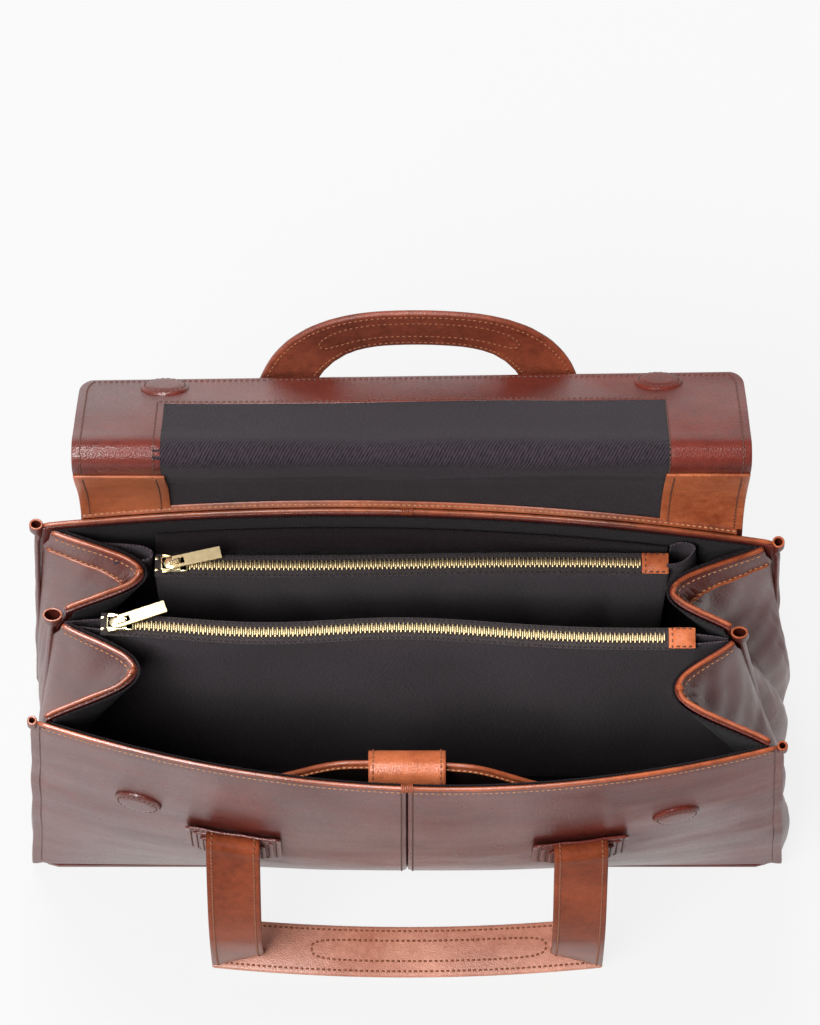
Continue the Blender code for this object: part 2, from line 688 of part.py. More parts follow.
def make_front_handle():
    """The fallen handle: two straps that bend over at the patches, and a grip on the floor."""
    exit_height = PATCH_TOP - STRAP_EXIT
    back = 2 * CLEARANCE + PATCH_LAYER + CLEARANCE + STRAP_THICKNESS / 2
    corner_y = -BASE_DEPTH / 2 - GRIP_FORWARD - STRAP_WIDTH / 4
    floor = CLEARANCE + STRAP_THICKNESS / 2
    straps = []
    for side_name, side in (("left", -1), ("right", 1)):
        top_x = side * PATCH_SPACING / 2
        wall = on_front(top_x, exit_height).y - back
        line = [Vector((wall, exit_height)), Vector((wall, exit_height + STRAP_BEND))]
        for step in range(1, 6):
            angle = math.pi * step / 6
            line.append(Vector((wall - STRAP_BEND * (1 - math.cos(angle)),
                                exit_height + STRAP_BEND * (1 + math.sin(angle)))))
        front = wall - 2 * STRAP_BEND
        line += [Vector((front, exit_height)),
                 Vector((mix(front, corner_y, 0.75), exit_height * 0.72)),
                 Vector((corner_y - STRAP_THICKNESS, exit_height * 0.36)),
                 Vector((corner_y, floor))]
        line = rounded(line, 1)

        def place(across, up, line=line, side=side, top_x=top_x):
            point, _ = along(line, up)
            offset = (across - 0.5) * STRAP_WIDTH
            x = mix(top_x, side * GRIP_CORNER_SPACING / 2, up) + offset
            slant = on_front(top_x + offset, exit_height).y - on_front(top_x, exit_height).y
            corner = -side * GRIP_CORNER_TURN * offset
            return x, point.x + mix(slant, corner, up ** 3), point.y
        straps.append(sheet(f"front_strap_{side_name}", 2, 16, place, STRAP_THICKNESS, STRAP_LEATHER,
                            centred=True, collection=tool_collection))

    half_length = GRIP_CORNER_SPACING / 2 + STRAP_WIDTH / 2

    def grip_place(across, up):
        share = mix(-1, 1, across)
        y = -BASE_DEPTH / 2 - GRIP_FORWARD + (up - 0.5) * STRAP_WIDTH - GRIP_BOW * (1 - share * share)
        return share * half_length, y, floor
    grip = sheet("handle_front", 12, 2, grip_place, STRAP_THICKNESS, STRAP_LEATHER, centred=True)
    for strap in straps:
        combine(grip, strap, "UNION")


def make_rear_handle():
    """The standing handle: legs that lean back behind the flap, and an arched grip."""
    exit_height = PATCH_TOP - STRAP_EXIT + STRAP_THICKNESS / 2
    half = PATCH_SPACING / 2
    stack = 4 * CLEARANCE + PATCH_LAYER + STRAP_THICKNESS / 2
    right = [Vector((row["side"] * half + REAR_GRIP_SHIFT * row["rise"], row["rise"] * REAR_HANDLE_RISE))
             for row in REAR_HANDLE_SHAPE]
    left = [Vector((-row["side"] * half + REAR_GRIP_SHIFT * row["rise"], row["rise"] * REAR_HANDLE_RISE))
            for row in REAR_HANDLE_SHAPE]
    line = rounded(left + [Vector((REAR_GRIP_SHIFT, REAR_HANDLE_RISE))] + right[::-1])

    def place(across, up):
        point, direction = along(line, up)
        lean = mix(REAR_HANDLE_LEAN, REAR_GRIP_LEAN, abs(direction.x))
        rise = Vector((0.0, math.sin(lean), math.cos(lean)))
        width = Vector((-direction.y, 0.0, 0.0)) + rise * direction.x
        offset = width * ((across - 0.5) * STRAP_WIDTH)
        left, right = on_rear(-half, exit_height).y, on_rear(half, exit_height).y
        root = mix(left, right, (point.x / half + 1) / 2)
        slant = on_rear(point.x + offset.x, exit_height).y - on_rear(point.x, exit_height).y
        slant *= max(0.0, 1.0 - 2 * point.y / REAR_HANDLE_RISE)
        back = root + stack + slant + point.y * math.sin(REAR_HANDLE_LEAN)
        return Vector((point.x, back, exit_height + point.y * math.cos(REAR_HANDLE_LEAN))) + offset
    sheet("handle_rear", 2, 30, place, STRAP_THICKNESS, STRAP_LEATHER, centred=True)


make_base()
make_walls()
make_gussets()
make_welts()
make_rims()
make_divider()
make_zip("middle_zip", middle_line, MIDDLE_ZIP_HEIGHT, MIDDLE_ZIP_LEFT, MIDDLE_ZIP_RIGHT,
         MIDDLE_PULL_TURN)
make_zip("rear_zip", lambda x: REAR_ZIP_Y, REAR_ZIP_HEIGHT, REAR_ZIP_LEFT, REAR_ZIP_RIGHT,
         REAR_PULL_TURN)
make_rear_pocket()
make_slip_pocket()
make_flap()
make_front_discs()
make_patches()
make_front_handle()
make_rear_handle()
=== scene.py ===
"""Looks of the leather business bag: one red-brown leather, black twill inside, brass zips."""
from functools import partial
from math import copysign, cos, exp, hypot, pi, radians, sin, sqrt

import bmesh
import bpy
from mathutils import Matrix, Vector, noise


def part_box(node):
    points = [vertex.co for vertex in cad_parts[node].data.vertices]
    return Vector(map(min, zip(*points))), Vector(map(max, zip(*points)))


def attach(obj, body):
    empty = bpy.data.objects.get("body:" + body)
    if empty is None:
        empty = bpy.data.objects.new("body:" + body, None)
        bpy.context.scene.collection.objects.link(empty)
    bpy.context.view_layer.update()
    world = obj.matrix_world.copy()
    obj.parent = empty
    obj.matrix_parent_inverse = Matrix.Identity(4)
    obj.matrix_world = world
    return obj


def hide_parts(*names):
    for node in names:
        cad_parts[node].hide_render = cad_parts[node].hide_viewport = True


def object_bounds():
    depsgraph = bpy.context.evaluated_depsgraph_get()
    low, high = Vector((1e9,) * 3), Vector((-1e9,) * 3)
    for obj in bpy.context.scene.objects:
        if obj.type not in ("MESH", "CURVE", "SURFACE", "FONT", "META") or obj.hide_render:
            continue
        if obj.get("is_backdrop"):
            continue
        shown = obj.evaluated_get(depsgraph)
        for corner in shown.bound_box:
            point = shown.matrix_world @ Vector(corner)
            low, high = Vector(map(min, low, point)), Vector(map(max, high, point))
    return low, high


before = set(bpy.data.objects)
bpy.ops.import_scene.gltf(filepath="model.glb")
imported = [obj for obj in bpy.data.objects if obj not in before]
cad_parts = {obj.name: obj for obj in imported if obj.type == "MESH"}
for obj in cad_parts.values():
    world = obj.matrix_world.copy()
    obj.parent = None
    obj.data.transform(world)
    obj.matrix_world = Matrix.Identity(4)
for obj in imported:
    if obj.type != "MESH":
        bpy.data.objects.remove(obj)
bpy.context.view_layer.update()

# Studio
# A pale seamless floor that glows a little, as a lit sweep does, under two soft boxes: one at
# the upper left in front, one above the rear. Leather seen at a low angle mirrors the floor.
FLOOR_HALF = 9.0
FLOOR_GAP = 0.0002
FLOOR_WHITE = (0.055, 0.055, 0.0555)
FLOOR_GLOW = 0.842
ROOM_STRENGTH = 0.24
ROOM_LEFT_SHARE = 2.4
ROOM_RIGHT_SHARE = 0.15
SOFT_BOXES = {"front_soft_box": (170.0, 1.8, Vector((-1.15, -1.45, 3.70))),
              "rear_soft_box": (125.0, 1.4, Vector((-0.38, 1.42, 3.85)))}
AIM = Vector((0.0016, 0.064, 0.280))
CAMERA_DISTANCE = 3.4
CAMERA_ELEVATION = radians(71.0)
LONG_SIDE_MM = 36.0
PIXELS_PER_MM = 1.83
PHOTO_HEIGHT = 1025


def settle(node, **inputs):
    for name, value in inputs.items():
        node.inputs[name.replace("_", " ")].default_value = value
    return node


def node_of(nodes, kind, **inputs):
    return settle(nodes.new(kind), **inputs)


def joiner(tree):
    """A function that leads one node's output to another's input."""
    def join(source, output, target, entry):
        tree.links.new(source.outputs[output], target.inputs[entry])
    return join


def new_finish(name):
    """A material, its nodes, its shader and the function that joins them."""
    paint = bpy.data.materials.new(name)
    paint.use_nodes = True
    nodes = paint.node_tree.nodes
    return paint, nodes, nodes["Principled BSDF"], joiner(paint.node_tree)


floor_mesh = bpy.data.meshes.new("floor")
floor_grid = bmesh.new()
bmesh.ops.create_grid(floor_grid, x_segments=1, y_segments=1, size=FLOOR_HALF)
floor_grid.to_mesh(floor_mesh)
floor_grid.free()
floor = bpy.data.objects.new("floor", floor_mesh)
bpy.context.scene.collection.objects.link(floor)
floor.location.z = -FLOOR_GAP
floor_paint, _, floor_shader, _ = new_finish("white_sweep")
settle(floor_shader, Base_Color=(*FLOOR_WHITE, 1), Roughness=0.9, Specular_IOR_Level=0.2,
       Emission_Color=(1, 1, 1, 1), Emission_Strength=FLOOR_GLOW)
floor_mesh.materials.append(floor_paint)
floor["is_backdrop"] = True

room = bpy.data.worlds.new("white_room")
room.use_nodes = True
room_nodes = room.node_tree.nodes
join = joiner(room.node_tree)
backdrop = settle(room_nodes["Background"], Color=(1.0, 1.0, 1.0, 1))
room_side = room_nodes.new("ShaderNodeTexCoord")
room_parts = room_nodes.new("ShaderNodeSeparateXYZ")
room_fall = node_of(room_nodes, "ShaderNodeMapRange", From_Min=-1.0,
                    To_Min=ROOM_STRENGTH * ROOM_LEFT_SHARE, To_Max=ROOM_STRENGTH * ROOM_RIGHT_SHARE)
join(room_side, "Generated", room_parts, "Vector")
join(room_parts, "X", room_fall, "Value")
join(room_fall, "Result", backdrop, "Strength")
bpy.context.scene.world = room

for box_name, (power, box_size, place) in SOFT_BOXES.items():
    soft_box = bpy.data.lights.new(box_name, "AREA")
    soft_box.energy = power
    soft_box.size = box_size
    box_object = bpy.data.objects.new(box_name, soft_box)
    box_object.location = place
    box_object.rotation_euler = (place - AIM).to_track_quat("Z", "Y").to_euler()
    bpy.context.scene.collection.objects.link(box_object)
bpy.context.scene.view_settings.view_transform = "Standard"

towards_camera = Vector((0.0, -cos(CAMERA_ELEVATION), sin(CAMERA_ELEVATION)))
camera_data = bpy.data.cameras.new("camera")
camera_data.sensor_width = LONG_SIDE_MM
camera_data.lens = PIXELS_PER_MM * CAMERA_DISTANCE * 1000 / PHOTO_HEIGHT * LONG_SIDE_MM
camera_data.clip_end = 50.0
camera = bpy.data.objects.new("camera", camera_data)
camera.location = AIM + towards_camera * CAMERA_DISTANCE
camera.rotation_euler = towards_camera.to_track_quat("Z", "Y").to_euler()
bpy.context.scene.collection.objects.link(camera)
bpy.context.scene.camera = camera


# Base
# A stiff board covered with the body leather and lined with black twill. The solids from the
# frame have the right shape, so they only take their finish here.
LEATHER_DEEP = (0.076, 0.0135, 0.0105)
LEATHER_WARM = (0.165, 0.0300, 0.0200)
TWILL_DARK = (0.010, 0.007, 0.009)
TWILL_LIGHT = (0.105, 0.077, 0.095)
FLAP_TWILL_DARK = (0.006, 0.0042, 0.0056)
FLAP_TWILL_LIGHT = (0.048, 0.036, 0.046)
DEEP_TWILL_DARK = (0.0028, 0.0016, 0.0020)
DEEP_TWILL_LIGHT = (0.020, 0.012, 0.015)


def tone_of(nodes, dark, light, first=0.0, last=1.0):
    """A colour that runs from dark to light between two levels."""
    tone = nodes.new("ShaderNodeValToRGB")
    for element, level, colour in zip(tone.color_ramp.elements, (first, last), (dark, light)):
        element.position = level
        element.color = (*colour, 1)
    return tone


def weighted(nodes, weight):
    """Adds its first input, times a weight, to its third."""
    node = nodes.new("ShaderNodeMath")
    node.operation = "MULTIPLY_ADD"
    node.inputs[1].default_value = weight
    return node


def leather_finish(name, deep, warm, roughness=0.27, grain=1000.0, relief=0.32, gloss=0.34):
    """Aniline leather: mottled colour, fine pebbled grain and faint creases, burnished."""
    paint, nodes, shader, join = new_finish(name)
    spot = nodes.new("ShaderNodeTexCoord")
    cloud = node_of(nodes, "ShaderNodeTexNoise", Scale=16.0, Detail=5.0, Roughness=0.6)
    fleck = node_of(nodes, "ShaderNodeTexNoise", Scale=210.0, Detail=4.0, Roughness=0.7)
    pebble = node_of(nodes, "ShaderNodeTexVoronoi", Scale=grain)
    crease = node_of(nodes, "ShaderNodeTexNoise", Scale=24.0, Detail=2.0, Roughness=0.5,
                     Distortion=0.2)
    patina = node_of(nodes, "ShaderNodeTexNoise", Scale=11.0, Detail=2.0)
    drawn = node_of(nodes, "ShaderNodeMapping", Scale=(0.65, 1.0, 1.3))
    parts = nodes.new("ShaderNodeSeparateXYZ")
    for taker in (cloud, fleck, pebble, patina, drawn, parts):
        join(spot, "Object", taker, "Vector")
    join(drawn, "Vector", crease, "Vector")
    blend = weighted(nodes, 0.50)
    join(fleck, "Fac", blend, 0)
    join(cloud, "Fac", blend, 2)
    tone = tone_of(nodes, deep, warm, 0.50, 0.98)
    join(blend, "Value", tone, "Fac")
    join(tone, "Color", shader, "Base Color")
    shine = node_of(nodes, "ShaderNodeMapRange", To_Min=roughness - 0.06, To_Max=roughness + 0.12)
    join(fleck, "Fac", shine, "Value")
    join(shine, "Result", shader, "Roughness")
    fine = node_of(nodes, "ShaderNodeBump", Strength=relief * 1.05, Distance=0.00050)
    broad = node_of(nodes, "ShaderNodeBump", Strength=relief * 0.7, Distance=0.0025)
    join(pebble, "Distance", fine, "Height")
    join(crease, "Fac", broad, "Height")
    join(broad, "Normal", fine, "Normal")
    join(fine, "Normal", shader, "Normal")
    # Specular level: random patina, plus a rise towards the left side (x below zero). The rise is a painted
    # sheen, standing for light from the left.
    patina_and_left_sheen = weighted(nodes, -0.95)
    level = node_of(nodes, "ShaderNodeMapRange", From_Min=0.30, From_Max=0.70,
                    To_Min=gloss * 0.30, To_Max=gloss * 2.5)
    join(parts, "X", patina_and_left_sheen, 0)
    join(patina, "Fac", patina_and_left_sheen, 2)
    join(patina_and_left_sheen, "Value", level, "Value")
    join(level, "Result", shader, "Specular IOR Level")
    return paint


def twill_finish(name, dark, light, rib=0.0013):
    """Black cotton twill: diagonal ribs along the cloth's own lengths, with a soft nap."""
    paint, nodes, shader, join = new_finish(name)
    spot = nodes.new("ShaderNodeUVMap")
    rib_wave = node_of(nodes, "ShaderNodeTexWave", Scale=0.444 / rib, Distortion=0.5, Detail=1.0)
    rib_wave.bands_direction = "DIAGONAL"
    slub = node_of(nodes, "ShaderNodeTexNoise", Scale=560.0, Detail=4.0, Roughness=0.7)
    fade = node_of(nodes, "ShaderNodeTexNoise", Scale=22.0, Detail=3.0)
    for texture in (rib_wave, slub, fade):
        join(spot, "UV", texture, "Vector")
    weave = weighted(nodes, 0.42)
    join(rib_wave, "Fac", weave, 0)
    join(slub, "Fac", weave, 2)
    tone = tone_of(nodes, dark, light, 0.38, 0.98)
    join(weave, "Value", tone, "Fac")
    shade = nodes.new("ShaderNodeMix")
    shade.data_type = "RGBA"
    shade.blend_type = "MULTIPLY"
    shade.inputs["Factor"].default_value = 0.35
    join(tone, "Color", shade, "A")
    join(fade, "Fac", shade, "B")
    join(shade, "Result", shader, "Base Color")
    bump = node_of(nodes, "ShaderNodeBump", Strength=0.9, Distance=0.0007)
    join(weave, "Value", bump, "Height")
    join(bump, "Normal", shader, "Normal")
    settle(shader, Roughness=0.82, Sheen_Weight=0.06, Sheen_Roughness=0.5, Specular_IOR_Level=0.12)
    return paint


body_leather = leather_finish("body_leather", LEATHER_DEEP, LEATHER_WARM)
twill = twill_finish("black_twill", TWILL_DARK, TWILL_LIGHT)
flap_twill = twill_finish("flap_twill", FLAP_TWILL_DARK, FLAP_TWILL_LIGHT)
deep_lining = twill_finish("deep_black_lining", DEEP_TWILL_DARK, DEEP_TWILL_LIGHT)


def refinish(node_name, finish):
    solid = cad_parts[node_name]
    solid.data.materials.clear()
    solid.data.materials.append(finish)


refinish("base_panel", body_leather)
refinish("base_lining", deep_lining)


# Front and rear
# Each wall is two leather panels sewn together down the middle. They belly out softly, the
# seam allowance is turned in at the middle, and the lower edge rolls under to the board.
base_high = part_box("base_panel")[1]
BODY_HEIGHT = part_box("front_binding")[1].z
BINDING_RADIUS = 0.0018
PANEL_GAP = 0.0004
PANEL_BOTTOM = base_high.z + PANEL_GAP
PANEL_TOP = BODY_HEIGHT - 2 * BINDING_RADIUS - PANEL_GAP
WALL_RISE = PANEL_TOP - PANEL_BOTTOM
STITCH_DROP = 0.0042
LEATHER = 0.0022
EDGE_SHARE = 0.35
WELT_RADIUS = 0.0032
TOP_WIDTH = 0.402
FRONT_BELLY = 0.0305
REAR_BELLY = 0.0135
FRONT_SHIFT = (0.002, -0.012)
REAR_SHIFT = (0.0, -0.010)
MIDDLE_BULGE = 0.0045
SEAM_TURN = 0.0009
SEAM_HALF = 0.0011
SEAM_LINE = 0.0030
EDGE_LINE = 0.0054
FLANGE = 0.0030


def mix(a, b, share):
    return a + (b - a) * share


def clamp(share):
    return min(1.0, max(0.0, share))


def hump(share):
    """Rises from 0 to 1 and back to 0 over a length, and is 0 outside of it."""
    return sin(pi * share) if 0 < share < 1 else 0.0


def bell(distance, width):
    return exp(-(distance / width) ** 2)


def ripple(point, size, seed=0.0):
    """Smooth, repeatable unevenness, from -1 to 1, with lumps of the given size."""
    return noise.noise(Vector((point[0] / size + seed, point[1] / size, point[2] / size)))


def half_width(up):
    return mix(2 * base_high.x, TOP_WIDTH, up) / 2


def wall(side, up, facing, belly, shift):
    """A wall's outer face; side runs from -1 at the left seam to 1 at the right one."""
    bow = belly * (1.0 - (1.0 - min(up, 1.0)) ** 3) * (1 - side * side)
    bow += MIDDLE_BULGE * hump(up) * (1 - side ** 4) * (facing < 0)
    y = facing * (base_high.y + bow) + mix(*shift, (side + 1) / 2) * up
    return Vector((side * half_width(up), y, mix(PANEL_BOTTOM, PANEL_TOP, up)))


def front_wall(side, up):
    return wall(side, up, -1, FRONT_BELLY, FRONT_SHIFT)


def rear_wall(side, up):
    return wall(side, up, 1, REAR_BELLY, REAR_SHIFT)


def wall_share(height):
    return (height - PANEL_BOTTOM) / WALL_RISE


def on_wall(which, x, height):
    share = wall_share(height)
    return which(x / half_width(share), share)


def surface_point(place, across, along, lift=0.0):
    """A point on a surface, lifted off it, and the surface's normal there."""
    step = 0.002
    run = place(across + step, along) - place(across - step, along)
    rise = place(across, along + step) - place(across, along - step)
    normal = run.cross(rise).normalized()
    return place(across, along) + normal * lift, normal


def finished(thing, stands_for=()):
    """Puts a piece in the scene on the bag and hides the nodes it replaces."""
    bpy.context.scene.collection.objects.link(thing)
    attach(thing, "bag")
    if stands_for:
        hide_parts(*stands_for)
    return thing


def object_of(name, solid, finish, smooth_sides=0):
    """A mesh that has been built, as an object; its faces are smooth, or those of some sides."""
    mesh = bpy.data.meshes.new(name)
    for face in solid.faces:
        face.smooth = not smooth_sides or len(face.verts) == smooth_sides
    solid.to_mesh(mesh)
    solid.free()
    mesh.materials.append(finish)
    return bpy.data.objects.new(name, mesh)


def round_edges(thing, width, segments=2, limit=50):
    bevel = thing.modifiers.new("edge", "BEVEL")
    bevel.width = width
    bevel.segments = segments
    bevel.angle_limit = radians(limit)


def run_lengths(steps, at):
    run = [0.0]
    for k in range(steps):
        run.append(run[-1] + (at((k + 1) / steps) - at(k / steps)).length)
    return run


def sheet(name, columns, rows, place, thickness, finish, stands_for=(),
          lift=0.0, keep=None, centred=False):
    """Leather or cloth cut flat and bent through place(across, along), with rounded cut edges."""
    grid = bmesh.new()
    bmesh.ops.create_grid(grid, x_segments=columns, y_segments=rows, size=0.5)
    if keep:
        cut = [face for face in grid.faces if not keep(face.calc_center_median().x + 0.5,
                                                       face.calc_center_median().y + 0.5)]
        bmesh.ops.delete(grid, geom=cut, context="FACES")
    wide = run_lengths(columns, lambda share: place(share, 0.5))
    high = run_lengths(rows, lambda share: place(0.5, share))
    flat = {vertex: (vertex.co.x + 0.5, vertex.co.y + 0.5) for vertex in grid.verts}
    layer = grid.loops.layers.uv.new("cut")
    for face in grid.faces:
        for loop in face.loops:
            across, along = flat[loop.vert]
            loop[layer].uv = (wide[round(across * columns)], high[round(along * rows)])
    for vertex, (across, along) in flat.items():
        vertex.co = place(across, along)
    grid.normal_update()
    if lift:
        moves = [vertex.normal * lift for vertex in grid.verts]
        for vertex, move in zip(grid.verts, moves):
            vertex.co += move
    thing = object_of(name, grid, finish)
    solid = thing.modifiers.new("wall", "SOLIDIFY")
    solid.thickness = thickness
    solid.offset = 0.0 if centred else -1.0
    round_edges(thing, thickness * EDGE_SHARE)
    return finished(thing, stands_for)


def seam_dip(distance, width, depth):
    """How far leather is drawn in beside a seam."""
    return -depth * bell(distance, width)


def panel_place(which, sign, belly_noise):
    """One half of a wall, from its outer seam to the middle one."""
    outward = -1 if which is front_wall else 1

    def place(across, along):
        ring = clamp((along - 0.985) / 0.012)
        edge = 1.0 + mix(FLANGE, -0.0002, ring) / half_width(along)
        edge += 0.0008 * ripple((0.0, float(sign), along * 0.25), 0.028, 2.2) / half_width(along) * (1 - ring)
        middle = 0.00015 / half_width(along)
        side = mix(-edge, -middle, across) if sign < 0 else mix(middle, edge, across)
        side = side if which is front_wall else -side
        point = which(side, along)
        dip = seam_dip(abs(point.x), SEAM_HALF, SEAM_TURN)
        dip += seam_dip(PANEL_TOP - point.z - STITCH_DROP, 0.0012, 0.00035)
        dip += seam_dip(half_width(along) - abs(point.x) - 0.0022, 0.0016, 0.0009)
        roll = max(0.0, 1.0 - (point.z - PANEL_BOTTOM) / 0.004)
        dip -= 0.0012 * roll ** 2
        calm = hump(along) ** 0.5
        streak = (point.x * 0.45, point.y, point.z * 1.35)
        dip += belly_noise * calm * (ripple(point, 0.085, 3.1) + 0.55 * ripple(streak, 0.032, 7.7)
                                     + 0.22 * ripple(streak, 0.012, 1.3))
        point.y += outward * dip
        return point
    return place


THREAD_RADIUS = 0.00044
STITCH_PITCH = 0.0031
STITCH_LENGTH = 0.0023
THREAD_TAN = (0.48, 0.22, 0.10)
THREAD_STRAP = (0.24, 0.075, 0.030)
THREAD_DARK = (0.085, 0.030, 0.018)


def scaled(colour, by):
    return tuple(min(1.0, by * part) for part in colour)


def thread_finish(name, colour):
    paint, nodes, shader, join = new_finish(name)
    spot = nodes.new("ShaderNodeTexCoord")
    twist = node_of(nodes, "ShaderNodeTexNoise", Scale=1500.0, Detail=2.0)
    join(spot, "Object", twist, "Vector")
    tone = tone_of(nodes, scaled(colour, 0.65), scaled(colour, 1.3))
    join(twist, "Fac", tone, "Fac")
    join(tone, "Color", shader, "Base Color")
    settle(shader, Roughness=0.55)
    return paint


tan_thread = thread_finish("tan_thread", THREAD_TAN)
dark_thread = thread_finish("dark_thread", THREAD_DARK)
strap_thread = thread_finish("strap_thread", THREAD_STRAP)


def level_track(height, steps, first, last):
    """Places across a sheet at one height."""
    return [(k / steps, height) for k in range(first, last + 1)]


def upright_tracks(spots, steps, first, last):
    """Rows of places up a sheet, one at each spot of its width."""
    return [[(spot, k / steps) for k in range(first, last + 1)] for spot in spots]


def mirrored(place):
    """The same surface, taken from its other side."""
    return lambda across, along: place(1 - across, along)


def stitches(name, place, tracks, finish=None, lift=0.0, thick=1.0):
    """Rows of sewn stitches on a surface. A track is a list of (across, along) places."""
    sides = 5
    profile = ((-0.5, 0.25, -0.7), (-0.3, 0.95, 0.15), (0.3, 0.95, 0.15), (0.5, 0.25, -0.7))
    points, faces = [], []
    for track in tracks:
        fine = []
        for start, end in zip(track, track[1:]):
            fine += [(mix(start[0], end[0], k / 6), mix(start[1], end[1], k / 6)) for k in range(6)]
        fine.append(track[-1])
        line = [surface_point(place, across, along, lift) for across, along in fine]
        run = [0.0]
        for (a, _), (b, _) in zip(line, line[1:]):
            run.append(run[-1] + (b - a).length)
        count = max(1, int(run[-1] / STITCH_PITCH))
        leg = 0
        for stitch in range(count):
            at = (stitch + 0.5) * run[-1] / count
            while leg < len(run) - 2 and run[leg + 1] < at:
                leg += 1
            share = (at - run[leg]) / max(run[leg + 1] - run[leg], 1e-9)
            centre = line[leg][0].lerp(line[leg + 1][0], share)
            normal = line[leg][1]
            ahead = (line[leg + 1][0] - line[leg][0]).normalized()
            beside = normal.cross(ahead)
            base = len(points)
            for shift, girth, height in profile:
                for turn in range(sides):
                    angle = 2 * pi * turn / sides
                    points.append(centre + ahead * (shift * STITCH_LENGTH)
                                  + beside * (cos(angle) * girth * thick * THREAD_RADIUS * 1.15)
                                  + normal * ((sin(angle) * girth + height) * THREAD_RADIUS * thick))
            for ring in range(len(profile) - 1):
                for turn in range(sides):
                    a = base + ring * sides + turn
                    b = base + ring * sides + (turn + 1) % sides
                    faces.append((a, a + sides, b + sides, b))
            faces.append(tuple(base + turn for turn in range(sides)))
            last = base + (len(profile) - 1) * sides
            faces.append(tuple(last + turn for turn in reversed(range(sides))))
    mesh = bpy.data.meshes.new(name)
    mesh.from_pydata([tuple(point) for point in points], [], faces)
    mesh.shade_smooth()
    mesh.materials.append(finish or tan_thread)
    return finished(bpy.data.objects.new(name, mesh))


PANELS = {
    "front_panel_left": panel_place(front_wall, -1, 0.0011),
    "front_panel_right": panel_place(front_wall, 1, 0.0011),
    "rear_panel_left": panel_place(rear_wall, 1, 0.0009),
    "rear_panel_right": panel_place(rear_wall, -1, 0.0009),
}
RIM_STITCH = 1.0 - STITCH_DROP / WALL_RISE
for panel_name, panel in PANELS.items():
    sheet(panel_name, 72, 64, panel, LEATHER, body_leather, stands_for=(panel_name,))
    outer = 0.0 if abs(panel(0.0, 0.5).x) > 0.1 else 1.0
    near_seam = mix(1.0 - outer, outer, SEAM_LINE / base_high.x)
    near_edge = mix(outer, 1.0 - outer, EDGE_LINE / base_high.x)
    stitches(f"{panel_name}_rim_stitches", panel, [level_track(RIM_STITCH, 30, 0, 30)])
    stitches(f"{panel_name}_seam_stitches", panel, upright_tracks((near_seam, near_edge), 30, 1, 30),
             dark_thread)


# Side gussets
# Two soft leather folds on each side, pushed in at the mouth and flat at the bottom. A band is
# sewn along each top edge, deeper at the rear, and shallow creases run down from it.
MIDDLE_INSET = {-1: 0.009, 1: 0.021}
MIDDLE_SHIFT = {-1: 0.005, 1: -0.005}
GUSSET_BULGE = {"rear_left": 0.0060, "front_left": 0.0085,
                "front_right": 0.0125, "rear_right": 0.0150}
GUSSET_BAND = {True: 0.0250, False: 0.0085}
BAND_THICKNESS = 0.0011
GUSSET_RELIEF = 0.0014
EDGE_CREASES = ((0.0075, 1.1), (0.0115, 0.8), (0.0160, 0.5))
BAND_LIFT = BAND_THICKNESS + 0.0001


def middle_seam(side, up):
    x = side * (half_width(up) - MIDDLE_INSET[side] * up)
    return Vector((x, MIDDLE_SHIFT[side] * up, mix(PANEL_BOTTOM, PANEL_TOP, up)))


GUSSETS = {
    "rear_left": (partial(rear_wall, -1), partial(middle_seam, -1), 1, 0.051),
    "front_left": (partial(middle_seam, -1), partial(front_wall, -1), 1, 0.048),
    "front_right": (partial(front_wall, 1), partial(middle_seam, 1), -1, 0.043),
    "rear_right": (partial(middle_seam, 1), partial(rear_wall, 1), -1, 0.045),
}


def gusset_place(name, margin=WELT_RADIUS, relief=GUSSET_RELIEF):
    start, end, inward, fold = GUSSETS[name]

    def place(across, along):
        top = clamp((along - 0.90) / 0.07)
        corner, centre = mix(LEATHER + 0.0003, margin + 0.0012, top), mix(0.0009, margin + 0.0016, top)
        long = (end(along) - start(along)).length
        first, last = (corner, centre) if name in ("rear_left", "front_right") else (centre, corner)
        share = mix(first / long, 1 - last / long, across)
        point = start(along).lerp(end(along), share)
        calm = hump(share)
        wave = (0.5 - 0.5 * cos(2 * pi * share)) ** 0.8 if 0 < share < 1 else 0.0
        point.x += inward * fold * wave * max(along, 0.0) ** 1.6
        lobe = 0.35 * calm + 0.65 * abs(sin(2 * pi * share)) ** 0.8
        low = 0.8 if inward > 0 else 0.62
        point.x -= inward * GUSSET_BULGE[name] * sin(pi * clamp(along) ** low) * lobe
        bend = 0.016 * sin(2.6 * along + 9.0 * fold * 20)
        crease = ripple((share * 0.12 + bend, 0.0, along * 0.055), 0.012, 5.0 * fold)
        crease += 0.6 * ripple((share * 0.12 + bend, 0.0, along * 0.11), 0.027, 8.0 * fold)
        if "rear" in name:
            from_edge = (share if name == "rear_left" else 1 - share) * 0.057
            for spot, deep in EDGE_CREASES:
                crease -= deep * bell(from_edge - spot - 0.001 * sin(9 * along), 0.0011)
        if inward < 0:
            reach = hypot((share - 0.5) * 0.075, (1.04 - along) * 0.085)
            crease += 0.85 * sin(2 * pi * reach / 0.0095 + 2.5 * bend * 60) * exp(-reach / 0.045)
        if name == "front_left":
            drawn = (share - 0.10 - 0.35 * (1.0 - along)) / 0.035
            crease -= 2.4 * exp(-drawn * drawn) * bell(1.0 - along, 0.16)
        pucker = bell(share - 0.53, 0.10) * max(0.0, 1.0 - abs(along - 0.93) / 0.07)
        crease += 1.1 * pucker * sin(share * 150)
        fade = calm * clamp((0.985 - along) / 0.07)
        fade *= mix(0.35, 1.0, clamp(along))
        point.x -= inward * relief * crease * fade * (1.0 if inward > 0 else 1.35)
        return point
    return place


